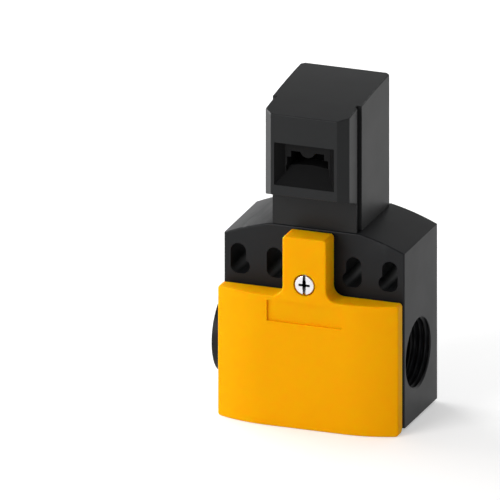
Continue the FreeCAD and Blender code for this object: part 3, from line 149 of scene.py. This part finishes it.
def addPaintedRecessShade(tree, colour, reach, recessShadeColour):
    # Painted shade: the colour turns to a dark tone where walls of the same piece stand within
    # reach all round.
    shade = tree.nodes.new("ShaderNodeAmbientOcclusion")
    shade.only_local = True
    shade.inputs["Distance"].default_value = reach * mm
    return mixColours(tree, remap(tree, shade.outputs["AO"], 0, 1), recessShadeColour, colour)


def metalFinish(name, look):
    # Bare or plated metal: the drawing or casting marks are stretched noise.
    finish, tree, shader, place = startFinish(name)
    marks = addNoise(tree, place, look["marks"], 4.0, look["stretch"])
    stain = addNoise(tree, place, look["stain"], 4.0)
    colour = mixColours(tree, remap(tree, stain, 0, 1), look["colour"], look["other"])
    # Painted shade darkens the recesses, where the look asks for it.
    if "grime" in look:
        colour = addPaintedRecessShade(tree, colour, *look["grime"])
    tree.links.new(colour, shader.inputs["Base Color"])
    tree.links.new(remap(tree, marks, *look["roughness"]), shader.inputs["Roughness"])
    shader.inputs["Metallic"].default_value = 1.0
    addBump(tree, shader, [(marks, look["markHeight"])])
    return finish


# colour and other are linear tones, roughness a low and a high value. grain and cloud are the
# widths of two patterns, grainHeight and wave their heights. depth is the share of light
# that enters, scatter how far it goes, and spread its share for red, green and blue.
plastics = {
    "black_plastic": {"colour": (0.0076, 0.0082, 0.0092), "other": (0.0088, 0.0094, 0.0104),
                      "roughness": (0.43, 0.46), "specular": 0.18, "grain": 0.22,
                      "grainHeight": 0.003, "cloud": 12.0, "wave": 0.003},
    "head_plastic": {"colour": (0.0140, 0.0146, 0.0152), "other": (0.0154, 0.0160, 0.0166),
                     "roughness": (0.41, 0.44), "specular": 0.17, "grain": 0.22,
                     "grainHeight": 0.003, "cloud": 14.0, "wave": 0.003},
    "dark_plastic": {"colour": (0.0060, 0.0060, 0.0062), "other": (0.0074, 0.0074, 0.0076),
                     "roughness": (0.46, 0.52), "specular": 0.08, "grain": 0.3,
                     "grainHeight": 0.002, "cloud": 6.0, "wave": 0.003},
    "yellow_plastic": {"colour": (0.93, 0.42, 0.0), "other": (0.92, 0.41, 0.0),
                       "roughness": (0.44, 0.48), "specular": 0.04, "grain": 0.25,
                       "grainHeight": 0.002, "cloud": 14.0, "wave": 0.003,
                       "depth": 0.6, "spread": (1.0, 0.10, 0.02), "scatter": 1.6},
    "grey_plastic": {"colour": (0.28, 0.29, 0.30), "other": (0.32, 0.33, 0.34),
                     "roughness": (0.45, 0.55), "specular": 0.4, "grain": 0.2,
                     "grainHeight": 0.004, "cloud": 7.0, "wave": 0.01},
    "white_plastic": {"colour": (0.74, 0.73, 0.68), "other": (0.68, 0.66, 0.60),
                      "roughness": (0.34, 0.44), "specular": 0.45, "grain": 0.3,
                      "grainHeight": 0.002, "cloud": 6.0, "wave": 0.01,
                      "depth": 0.15, "spread": (1.0, 0.9, 0.7), "scatter": 0.6},
    "black_rubber": {"colour": (0.014, 0.014, 0.014), "other": (0.022, 0.022, 0.021),
                     "roughness": (0.66, 0.8), "specular": 0.3, "grain": 0.15,
                     "grainHeight": 0.008, "cloud": 4.0, "wave": 0.01},
}

# marks and stain are the widths of two patterns, stretch the marks' scale along each axis and
# markHeight their height. The last entry, where given, is the reach and colour of painted shade
# in narrow recesses.
metals = {
    # bright_steel's last entry paints shade into its drive slots and thread roots.
    "bright_steel": {"colour": (0.78, 0.77, 0.79), "other": (0.70, 0.69, 0.71),
                     "roughness": (0.20, 0.34), "marks": 0.3, "stretch": (1, 1, 1),
                     "stain": 2.0, "markHeight": 0.002, "grime": (1.6, (0.02, 0.018, 0.016))},
    "spring_steel": {"colour": (0.52, 0.52, 0.53), "other": (0.42, 0.42, 0.42),
                     "roughness": (0.28, 0.42), "marks": 0.12, "stretch": (1, 1, 0.2),
                     "stain": 1.5, "markHeight": 0.002},
    "cast_zinc": {"colour": (0.56, 0.56, 0.57), "other": (0.47, 0.47, 0.49),
                  "roughness": (0.42, 0.58), "marks": 0.25, "stretch": (1, 1, 1),
                  "stain": 3.0, "markHeight": 0.01},
    "brass": {"colour": (0.80, 0.60, 0.28), "other": (0.70, 0.50, 0.22),
              "roughness": (0.24, 0.38), "marks": 0.15, "stretch": (0.2, 1, 1),
              "stain": 1.8, "markHeight": 0.002},
    "contact_brass": {"colour": (0.84, 0.69, 0.42), "other": (0.74, 0.57, 0.32),
                      "roughness": (0.26, 0.40), "marks": 0.2, "stretch": (0.15, 1, 1),
                      "stain": 2.2, "markHeight": 0.002},
}

finishes = {name: mouldedFinish(name + "_finish", look) for name, look in plastics.items()}
finishes.update({name: metalFinish(name + "_finish", look) for name, look in metals.items()})
for node, piece in nodes.items():
    for place in piece.material_slots:
        place.material = finishes[slotOf[node]]
print("finishes:", len(finishes))


# Surfaces: a grid of points, rows along the piece and columns round it

weldGap, sliverGap = 1e-6, 1e-7  # metres


def setPoints(mesh, points):
    mesh.vertices.foreach_set("co", points.astype(np.float32).reshape(-1))


def getPoints(mesh):
    points = np.empty(len(mesh.vertices) * 3, np.float32)
    mesh.vertices.foreach_get("co", points)
    return points.reshape(-1, 3).astype(float)


def shadeSmooth(mesh, sharp):
    # Smooth faces, with a crease where two of them meet at more than sharp degrees.
    mesh.polygons.foreach_set("use_smooth", np.ones(len(mesh.polygons), bool))
    mesh.set_sharp_from_angle(angle=math.radians(sharp))
    return mesh


def gridMesh(name, grid, closed=True):
    # A face joins each four neighbouring points; closed joins the last column to the first.
    rows, columns = grid.shape[:2]
    row = np.arange(rows - 1)[:, None]
    column = np.arange(columns if closed else columns - 1)[None, :]
    after = (column + 1) % columns
    corners = [row * columns + column, row * columns + after,
               (row + 1) * columns + after, (row + 1) * columns + column]
    faces = np.stack([np.broadcast_to(c, (rows - 1, column.size)) for c in corners], axis=-1)
    faces = faces.reshape(-1, 4)
    mesh = bpy.data.meshes.new(name)
    mesh.vertices.add(rows * columns)
    setPoints(mesh, grid)
    mesh.loops.add(faces.size)
    mesh.loops.foreach_set("vertex_index", faces.reshape(-1).astype(np.int32))
    mesh.polygons.add(len(faces))
    mesh.polygons.foreach_set("loop_start", np.arange(0, faces.size, 4, dtype=np.int32))
    mesh.update(calc_edges=True)
    mesh.validate()
    return mesh


def cleanMesh(mesh, sharp=30.0):
    # Merges doubles at poles and seams, turns the faces outwards and keeps edges over sharp.
    work = bmesh.new()
    work.from_mesh(mesh)
    bmesh.ops.remove_doubles(work, verts=work.verts, dist=weldGap)
    bmesh.ops.dissolve_degenerate(work, edges=work.edges, dist=sliverGap)
    bmesh.ops.recalc_face_normals(work, faces=work.faces)
    work.to_mesh(mesh)
    work.free()
    return shadeSmooth(mesh, sharp)


def fullTurn(count):
    return np.linspace(0, 2 * math.pi, count, endpoint=False)


def roundPoints(radius, angle, height):
    # x = radius * cos(angle), y = radius * sin(angle), z = height
    return np.stack([radius * np.cos(angle), radius * np.sin(angle),
                     height + 0 * angle], axis=-1)


def turnedGrid(profile, around):
    # A profile of (radius, height) turned about the Z axis
    radius, height = np.asarray(profile, float).T[:, :, None]
    return roundPoints(radius, fullTurn(around)[None, :], height)


def threadProfile(turn, peak=1.35, slope=3.4):
    # Height over one turn, 0 at the root and 1 at the crest: peak - slope * |turn - 1/2|,
    # cut off at 0 and at 1, which leaves a flat on both.
    return np.clip(peak - slope * np.abs((turn % 1.0) - 0.5), 0, 1)


def threadGrid(root, crest, pitch, low, high, around, steps=10, runOut=0.5):
    # Radius of a screw: root + (crest - root) * thread(height / pitch - angle / turn),
    # fading to the root over the last runOut turns at each end; steps points make one turn.
    angle = fullTurn(around)[None, :]
    height = np.linspace(low, high, int((high - low) / pitch * steps) + 2)[:, None]
    fade = np.clip(np.minimum(height - low, high - height) / (pitch * runOut), 0, 1)
    rise = threadProfile(height / pitch - angle / (2 * math.pi)) * fade
    return roundPoints(root + (crest - root) * rise, angle, height)


def capped(grid):
    # Adds a pole in the middle of each end, so that the surface closes.
    ends = [np.broadcast_to(grid[i].mean(axis=0), grid[i].shape)[None] for i in (0, -1)]
    return np.concatenate([ends[0], grid, ends[1]], axis=0)


# A screw stands along local Z with its head up; these turn it to face each way.
facing = {
    "front": np.array([[1, 0, 0], [0, 0, -1], [0, 1, 0]], float),
    "back": np.array([[-1, 0, 0], [0, 0, 1], [0, 1, 0]], float),
}


def boxPoints(low, high, taper):
    # Two rings of four corners, the lower ring shrunk by taper towards the middle.
    corners = np.array([[0, 0], [1, 0], [1, 1], [0, 1]], float)
    low, high = np.asarray(low, float), np.asarray(high, float)
    flat = low[:2] + corners * (high[:2] - low[:2])
    middle = flat.mean(axis=0)
    rings = [middle + (flat - middle) * taper, flat]
    heights = [low[2], high[2]]
    return np.stack([np.column_stack([ring, np.full(4, h)])
                     for ring, h in zip(rings, heights)])


def addPiece(name, mesh, node=None, riding=True):
    # A piece that stands for a imported node takes the finish of its slot, and rides on its
    # body.
    piece = bpy.data.objects.new(name, mesh)
    bpy.context.scene.collection.objects.link(piece)
    if node:
        mesh.materials.clear()
        mesh.materials.append(finishes[slotOf[node]])
        if riding:
            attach(piece, bodyOf[node])
        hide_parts(node)
    return piece


def carve(name, mesh, cutters, how="DIFFERENCE"):
    # The mesh with the closed cutters taken away from it, or joined to it where how is UNION.
    body = addPiece(name + "Body", mesh)
    tools = [addPiece(name + "Tool", cutter) for cutter in cutters]
    for tool in tools:
        step = body.modifiers.new("cut", "BOOLEAN")
        step.operation = how
        step.solver = "EXACT"
        step.object = tool
    bpy.context.view_layer.update()
    seen = body.evaluated_get(bpy.context.evaluated_depsgraph_get())
    result = bpy.data.meshes.new_from_object(seen)
    for thing in [body] + tools:
        bpy.data.objects.remove(thing)
    result.name = name
    return cleanMesh(result)


def solidBoxes(node):
    # Box of each separate solid in a node: every vertex takes the lowest number it can reach.
    mesh = cleanMesh(nodes[node].data.copy())
    pairs = np.empty(len(mesh.edges) * 2, np.int32)
    mesh.edges.foreach_get("vertices", pairs)
    first, last = pairs.reshape(-1, 2).T
    label = np.arange(len(mesh.vertices))
    before = None
    while before is None or (before != label).any():
        before = label.copy()
        lowest = np.minimum(label[first], label[last])
        np.minimum.at(label, first, lowest)
        np.minimum.at(label, last, lowest)
    points = getPoints(mesh) / mm
    bpy.data.meshes.remove(mesh)
    return [(points[label == one].min(axis=0), points[label == one].max(axis=0))
            for one in np.unique(label)]


def placedCopies(name, mesh, turn, places, sharp=30.0):
    # One mesh that holds a copy of mesh at each place, turned by the matrix
    work = bmesh.new()
    points = getPoints(mesh)
    for place in places:
        copy = mesh.copy()
        setPoints(copy, points @ turn.T + np.asarray(place, float))
        work.from_mesh(copy)
        bpy.data.meshes.remove(copy)
    together = bpy.data.meshes.new(name)
    work.to_mesh(together)
    work.free()
    return shadeSmooth(together, sharp)


# For every screw: the bevel under its head, how far the shank goes into the head, the share
# of the core's radius left at the tip, how far a drive's cutter stands out of the head, and
# how many points go round the shank and over the rim.
screwShape = {"bevel": 0.1, "sunk": 0.2, "tip": 0.7, "above": 1.0, "around": 32, "rim": 5}


def screwMesh(name, look, length):
    # Head with a rounded rim on a shank that is threaded at its end; the drive is cut in.
    head, deep, rim, core = look["head"], look["headDepth"], look["rim"], look["core"]
    bevel, sunk, around = screwShape["bevel"], screwShape["sunk"], screwShape["around"]
    arc = np.linspace(0, math.pi / 2, screwShape["rim"])
    rimArc = np.column_stack([head - rim + rim * np.cos(arc), deep - rim + rim * np.sin(arc)])
    under = [(0, 0), (head - bevel, 0), (head, bevel)]
    profile = np.vstack([under, rimArc, [(0, deep)]]) * mm
    blank = gridMesh(name + "Head", turnedGrid(profile, look["around"]))
    cutters = []
    for width, reach, depth, taper, across in look["drive"]:
        half = np.array([reach, width / 2] if across else [width / 2, reach])
        box = boxPoints([*(-half), deep - depth], [*half, deep + screwShape["above"]], taper)
        cutters.append(cleanMesh(gridMesh(name + "Drive", capped(box * mm)), sharp=20))
    headMesh = carve(name, cleanMesh(blank, sharp=35), cutters)
    grid = threadGrid(core * mm, look["crest"] * mm, look["pitch"] * mm, -length * mm,
                      (look["thread"] - length) * mm, around)
    tip = [(0, -length), (core * screwShape["tip"], -length)]
    collar = [(core, sunk), (0, sunk)]
    tipGrid, collarGrid = (turnedGrid(np.array(end) * mm, around) for end in (tip, collar))
    shank = gridMesh(name + "Shank", np.concatenate([tipGrid, grid, collarGrid]))
    work = bmesh.new()
    work.from_mesh(headMesh)
    work.from_mesh(cleanMesh(shank, sharp=50))
    work.to_mesh(headMesh)
    work.free()
    return headMesh


# Screws: radii of the head, the core and the thread's crest, the head's depth and its rim's
# rounding, the pitch and the thread's length; around is the count of points round the head.
# A drive cut is (width, half length, depth, taper, across).

screws = {
    "cover_screw": {"faces": "front", "head": 2.65, "headDepth": 1.6, "rim": 0.28, "around": 72,
                    "core": 1.58, "crest": 2.0, "pitch": 0.7, "thread": 2.0,
                    "drive": [(0.83, 3.4, 1.1, 1.0, False), (0.72, 1.75, 1.4, 0.75, True),
                              (1.1, 1.3, 1.4, 0.75, False)]},
    "terminal_screws": {"faces": "front", "head": 2.2, "headDepth": 1.5, "rim": 0.3,
                        "around": 40, "core": 1.0, "crest": 1.25, "pitch": 0.5, "thread": 4.2,
                        "drive": [(0.62, 2.6, 0.7, 1.0, True), (0.5, 1.25, 0.95, 0.7, True),
                                  (0.62, 1.25, 0.95, 0.7, False)]},
    "block_screws": {"faces": "front", "head": 2.5, "headDepth": 1.8, "rim": 0.7,
                     "around": 40, "core": 1.05, "crest": 1.35, "pitch": 0.9, "thread": 5.0,
                     "drive": [(0.7, 1.5, 1.2, 0.6, True), (0.7, 1.5, 1.2, 0.6, False)]},
    "head_screws": {"faces": "back", "head": 1.9, "headDepth": 1.5, "rim": 0.5,
                    "around": 40, "core": 0.74, "crest": 0.95, "pitch": 0.6, "thread": 5.2,
                    "drive": [(0.5, 1.15, 1.0, 0.6, True), (0.5, 1.15, 1.0, 0.6, False)]},
}


def makeScrews(node, look):
    # A screw's own origin is under its head, so that is where each one is placed.
    name = node.replace("_", "") + "Turned"
    deep = look["headDepth"]
    boxes = solidBoxes(node)
    length = boxes[0][1][1] - boxes[0][0][1] - deep
    places = []
    for low, high in boxes:
        middle = (low + high) / 2
        middle[1] = low[1] + deep if look["faces"] == "front" else high[1] - deep
        places.append(middle * mm)
    mesh = placedCopies(name, screwMesh(name, look, length), facing[look["faces"]], places)
    addPiece(name, mesh, node)


for node, look in screws.items():
    makeScrews(node, look)
print("screws:", len(screws))


# Springs: a round wire along a helix whose last turn at each end lies flat; wire is the wire's
# radius. A spring that its joint shortens rides on its body and names the share of its length
# kept, and one that reaches from one body to another names the two.

springs = {
    "plunger_spring": {"turns": 5.0, "wire": 0.3, "between": ("enclosure", "plunger")},
    "latch_spring": {"turns": 4.5, "wire": 0.22, "joint": "latch_slide", "keep": 0.6},
    "carrier_spring": {"turns": 3.5, "wire": 0.3, "between": ("enclosure", "contact_carrier")},
    "contact_spring_lower": {"turns": 3.0, "wire": 0.22},
    "contact_spring_middle": {"turns": 3.0, "wire": 0.22},
    "contact_spring_upper": {"turns": 3.0, "wire": 0.22},
}


# For every spring: the turns that lie flat at each end, the rise of a flat turn in wire radii,
# the points along one turn and the points round the wire.
coiling = {"flat": 0.8, "flatRise": 1.02, "along": 28, "around": 10}


def springGrid(centre, coil, wire, low, high, turns):
    # Centre line: x = coil * cos(angle), y = coil * sin(angle), and z climbs evenly but for
    # the flat end turns. Each ring of the wire stands across that line.
    flat = coiling["flat"]
    along = np.linspace(0, turns, int(turns * coiling["along"]))
    climb = np.clip((along - flat) / (turns - 2 * flat), 0, 1)
    squeezed = np.clip(along / flat, 0, 1) + np.clip((along - turns + flat) / flat, 0, 1)
    rise = (high - low - 4 * wire) * climb + squeezed * wire * coiling["flatRise"]
    angle = along * 2 * math.pi
    line = roundPoints(coil, angle, low + wire + rise) + [*centre, 0]
    tangent = np.gradient(line, axis=0)
    tangent /= np.linalg.norm(tangent, axis=1)[:, None]
    outward = roundPoints(1.0, angle, 0.0)
    upward = np.cross(tangent, outward)
    turn = fullTurn(coiling["around"])[None, :, None]
    ring = np.cos(turn) * outward[:, None, :] + np.sin(turn) * upward[:, None, :]
    return line[:, None, :] + wire * ring


def makeSpring(node, look):
    low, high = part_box(node)
    wire = look["wire"] * mm
    coil = (high.x - low.x) / 2 - wire
    centre = ((low.x + high.x) / 2, (low.y + high.y) / 2)
    grid = springGrid(centre, coil, wire, low.z, high.z, look["turns"])
    name = node.replace("_", "") + "Wound"
    mesh = cleanMesh(gridMesh(name, capped(grid)), sharp=40)
    piece = addPiece(name, mesh, node, riding="between" not in look)
    if "joint" in look:
        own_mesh(piece)
    if "between" in look:
        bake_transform(piece)


for node, look in springs.items():
    makeSpring(node, look)
print("springs:", len(springs))


def looseCopy(node, name):
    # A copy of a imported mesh, its points merged, which may be changed
    mesh = nodes[node].data.copy()
    mesh.name = name
    if mesh.has_custom_normals:
        mesh.attributes.remove(mesh.attributes["custom_normal"])
    return cleanMesh(mesh)


# Cover: the same body with the floor of its name recess pushed further in. The points moved
# are within near of the recess's packed depth, and from low to high with a margin.

nameRecess = {"depth": 0.3, "deeper": 0.45, "low": 28.3, "high": 34.1, "near": 0.02,
              "margin": 0.1}


def makeCover():
    look = nameRecess
    mesh = looseCopy("cover", "coverDressed")
    points = getPoints(mesh)
    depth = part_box("cover")[0].y + look["depth"] * mm
    floor = ((np.abs(points[:, 1] - depth) < look["near"] * mm)
             & (points[:, 2] > (look["low"] - look["margin"]) * mm)
             & (points[:, 2] < (look["high"] + look["margin"]) * mm))
    points[floor, 1] += look["deeper"] * mm
    setPoints(mesh, points)
    mesh.update()
    print("cover: points moved in the name recess:", int(floor.sum()))
    addPiece("coverDressed", mesh, "cover")


makeCover()


# Entry guide: the same insert with a flared ramp and two cheeks that lead into its slot.
# half, low and high are the window's half width and its two edges; front, face and inside are
# depths (Y) of the ramp's front edge, the insert's face and the ramp's hidden back. The lip is
# the ramp's top edge, slotHalf wide to each side, drawn with a number of points. The cheeks
# end at cheek from the middle.

funnel = {"half": 8.2, "low": 66.32, "high": 77.93, "front": -20.35, "face": -17.7,
          "inside": -17.0, "slotHalf": 5.7, "lip": 70.48, "crown": 0.6, "slope": 2.694,
          "points": 25, "cheek": 5.95, "cheekBack": -17.4}


def rampMesh(look):
    # Sections across the slot: x = half * t in front and slotHalf * t at the lip, for t from
    # -1 to 1. The lip rises by crown * (1 - t^2) and stays on the insert's own slope.
    share = np.linspace(-1, 1, look["points"])
    lip = look["lip"] + look["crown"] * (1 - share ** 2)
    edges = [(look["half"], look["front"], look["low"]),
             (look["slotHalf"], look["face"] + (lip - look["low"]) / look["slope"], lip),
             (look["slotHalf"], look["inside"], look["low"])]
    lines = [np.column_stack([x * share, y + 0 * share, z + 0 * share]) for x, y, z in edges]
    return gridMesh("guideRamp", capped(np.stack(lines, axis=1) * mm))


def cheekMesh(look, hand):
    # A three-sided prism between the window's side wall and the insert's face
    half, cheek, back = look["half"], look["cheek"], look["cheekBack"]
    outline = np.array([[half, look["front"]], [half, back], [cheek, back]]) * [hand, 1]
    rings = [np.column_stack([outline, np.full(3, z)]) for z in (look["low"], look["high"])]
    return gridMesh("guideCheek", capped(np.stack(rings) * mm))


def makeGuide():
    added = [rampMesh(funnel), cheekMesh(funnel, -1), cheekMesh(funnel, 1)]
    mesh = carve("guideFlared", looseCopy("entry_guide", "guideFlared"),
                 [cleanMesh(one) for one in added], how="UNION")
    addPiece("guideFlared", mesh, "entry_guide")


makeGuide()
print("entry guide with its ramp")


# Enclosure: the same body with the thread of the right cable entry cut into its bore. root
# and crest are the bore's radii, length goes inwards from the face, and mouth is the radius at
# the face. The cutter reaches past it, and inner is the share of the radius of its end ring.

entryThread = {"root": 10.0, "crest": 9.19, "pitch": 1.5, "length": 5.5, "mouth": 9.65,
               "past": 0.3, "inner": 0.8, "around": 96}


def makeEnclosure():
    # The cutter is a screw, so its root is the bore's crest. Both entries have one height, so
    # the seal of the left one's plug gives the axis.
    look = entryThread
    grid = threadGrid(look["crest"] * mm, look["root"] * mm, look["pitch"] * mm,
                      -look["length"] * mm, look["past"] * mm, look["around"])
    # A 45 degree lead at the face: radius at least mouth + height, with height 0 at the face
    radius = np.hypot(grid[..., 0], grid[..., 1])
    wide = np.maximum(look["mouth"] * mm + grid[..., 2], radius)
    grid[..., :2] *= (wide / radius)[..., None]
    end = grid[:1] * [look["inner"], look["inner"], 1.0]
    cutter = gridMesh("entryCutter", capped(np.concatenate([end, grid])))
    cutter = cleanMesh(cutter, sharp=40)
    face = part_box("enclosure")[1].x
    low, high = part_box("plug_seal")
    centreY, centreZ = (low.y + high.y) / 2, (low.z + high.z) / 2
    across, upward, outward = getPoints(cutter).T
    setPoints(cutter, np.column_stack([face + outward, centreY + across, centreZ + upward]))
    cutter.update()
    mesh = carve("enclosureThreaded", looseCopy("enclosure", "enclosureThreaded"), [cutter])
    addPiece("enclosureThreaded", mesh, "enclosure")


makeEnclosure()
print("enclosure with its entry thread")


# Floor, backdrop and light

# The floor's half width, tone and height; lift is the light added where the eye sees it
floorLook = {"half": 3000.0, "colour": 0.78, "lift": 0.38, "level": -0.8}


def seenByEye(tree):
    # 1 for camera, glossy and transmission rays, so that metal shows the same background.
    path = tree.nodes.new("ShaderNodeLightPath")
    value = path.outputs["Is Camera Ray"]
    for name in ("Is Glossy Ray", "Is Transmission Ray"):
        more = tree.nodes.new("ShaderNodeMath")
        more.operation = "MAXIMUM"
        tree.links.new(value, more.inputs[0])
        tree.links.new(path.outputs[name], more.inputs[1])
        value = more.outputs[0]
    return value


def makeFloor():
    half = floorLook["half"] * mm
    across = np.linspace(-half, half, 3)
    x, y = np.meshgrid(across, across)
    grid = np.stack([x, y, np.full_like(x, floorLook["level"] * mm)], axis=-1)
    floor = addPiece("studioFloor", gridMesh("studioFloor", grid, closed=False))
    finish = bpy.data.materials.new("floor_finish")
    finish.use_nodes = True
    tree = finish.node_tree
    tree.nodes.clear()
    end = tree.nodes.new("ShaderNodeOutputMaterial")
    matt = tree.nodes.new("ShaderNodeBsdfDiffuse")
    matt.inputs["Color"].default_value = (floorLook["colour"],) * 3 + (1,)
    glow = tree.nodes.new("ShaderNodeEmission")
    share = tree.nodes.new("ShaderNodeMath")
    share.operation = "MULTIPLY"
    share.inputs[1].default_value = floorLook["lift"]
    tree.links.new(seenByEye(tree), share.inputs[0])
    tree.links.new(share.outputs[0], glow.inputs["Strength"])
    both = tree.nodes.new("ShaderNodeAddShader")
    tree.links.new(matt.outputs[0], both.inputs[0])
    tree.links.new(glow.outputs[0], both.inputs[1])
    tree.links.new(both.outputs[0], end.inputs["Surface"])
    floor.data.materials.append(finish)


# bands gives the brightness seen at each height, from 0 for level to 1 for straight up;
# ambient is the brightness of the plain grey that lights the part.
skyLook = {"ambient": 0.42, "bands": [(0.0, 0.60), (0.25, 1.00), (0.5, 0.30), (1.0, 0.35)]}


def makeSky():
    # Seen rays meet a sky that changes with height; all others meet a plain grey.
    world = bpy.data.worlds.new("studioSky")
    bpy.context.scene.world = world
    world.use_nodes = True
    tree = world.node_tree
    tree.nodes.clear()
    end = tree.nodes.new("ShaderNodeOutputWorld")
    split = tree.nodes.new("ShaderNodeSeparateXYZ")
    tree.links.new(tree.nodes.new("ShaderNodeTexCoord").outputs["Generated"],
                   split.inputs["Vector"])
    ramp = tree.nodes.new("ShaderNodeValToRGB")
    steps = ramp.color_ramp.elements
    heights, tones = zip(*skyLook["bands"])
    for height in heights[1:-1]:
        steps.new(height)
    for step, tone in zip(steps, tones):
        step.color = (tone, tone, tone, 1)
    tree.links.new(split.outputs["Z"], ramp.inputs["Fac"])
    seen = tree.nodes.new("ShaderNodeBackground")
    tree.links.new(ramp.outputs["Color"], seen.inputs["Color"])
    plain = tree.nodes.new("ShaderNodeBackground")
    plain.inputs["Color"].default_value = (1, 1, 1, 1)
    plain.inputs["Strength"].default_value = skyLook["ambient"]
    mix = tree.nodes.new("ShaderNodeMixShader")
    tree.links.new(seenByEye(tree), mix.inputs["Fac"])
    tree.links.new(plain.outputs[0], mix.inputs[1])
    tree.links.new(seen.outputs[0], mix.inputs[2])
    tree.links.new(mix.outputs[0], end.inputs["Surface"])


# place is the lamp's middle in metres, size its width and height, power in watts; all the
# lamps look at lampAim.
lampAim = (0, 0, 0.045)
lamps = {
    "keyLamp": {"place": (-0.55, -1.0, 0.55), "size": (0.7, 0.7), "power": 8.7},
    "leftLamp": {"place": (-0.8, 0.3, 0.2), "size": (0.8, 0.5), "power": 12.0},
    "backLamp": {"place": (0.35, 0.95, 0.3), "size": (0.5, 0.5), "power": 0.5},
    "topLamp": {"place": (-0.1, 0.35, 1.1), "size": (0.6, 0.6), "power": 0.8},
}


def makeLamps():
    for name, look in lamps.items():
        light = bpy.data.lights.new(name, "AREA")
        light.shape = "RECTANGLE"
        light.size, light.size_y = look["size"]
        light.energy = look["power"]
        lamp = bpy.data.objects.new(name, light)
        lamp.location = look["place"]
        ahead = Vector(lampAim) - lamp.location
        lamp.rotation_euler = ahead.to_track_quat("-Z", "Y").to_euler()
        bpy.context.scene.collection.objects.link(lamp)


# Camera: a parallel view from the right and above; across and upward shift its aim point
viewing = {"azimuth": 20.0, "elevation": 20.0, "width": 130.26, "across": -21.05,
           "upward": 39.63, "distance": 600.0}


def makeCamera():
    turn, tilt = math.radians(viewing["azimuth"]), math.radians(viewing["elevation"])
    right = Vector((math.cos(turn), math.sin(turn), 0))
    ahead = Vector((-math.sin(turn) * math.cos(tilt), math.cos(turn) * math.cos(tilt),
                    -math.sin(tilt)))
    up = right.cross(ahead)
    data = bpy.data.cameras.new("viewCamera")
    data.type = "ORTHO"
    data.ortho_scale = viewing["width"] * mm
    camera = bpy.data.objects.new("viewCamera", data)
    aim = (right * viewing["across"] + up * viewing["upward"]) * mm
    camera.location = aim - ahead * viewing["distance"] * mm
    camera.rotation_euler = ahead.to_track_quat("-Z", "Y").to_euler()
    bpy.context.scene.collection.objects.link(camera)
    bpy.context.scene.camera = camera


makeFloor()
makeSky()
makeLamps()
makeCamera()
bpy.context.scene.view_settings.view_transform = "Standard"
print("floor, sky, lamps and camera")
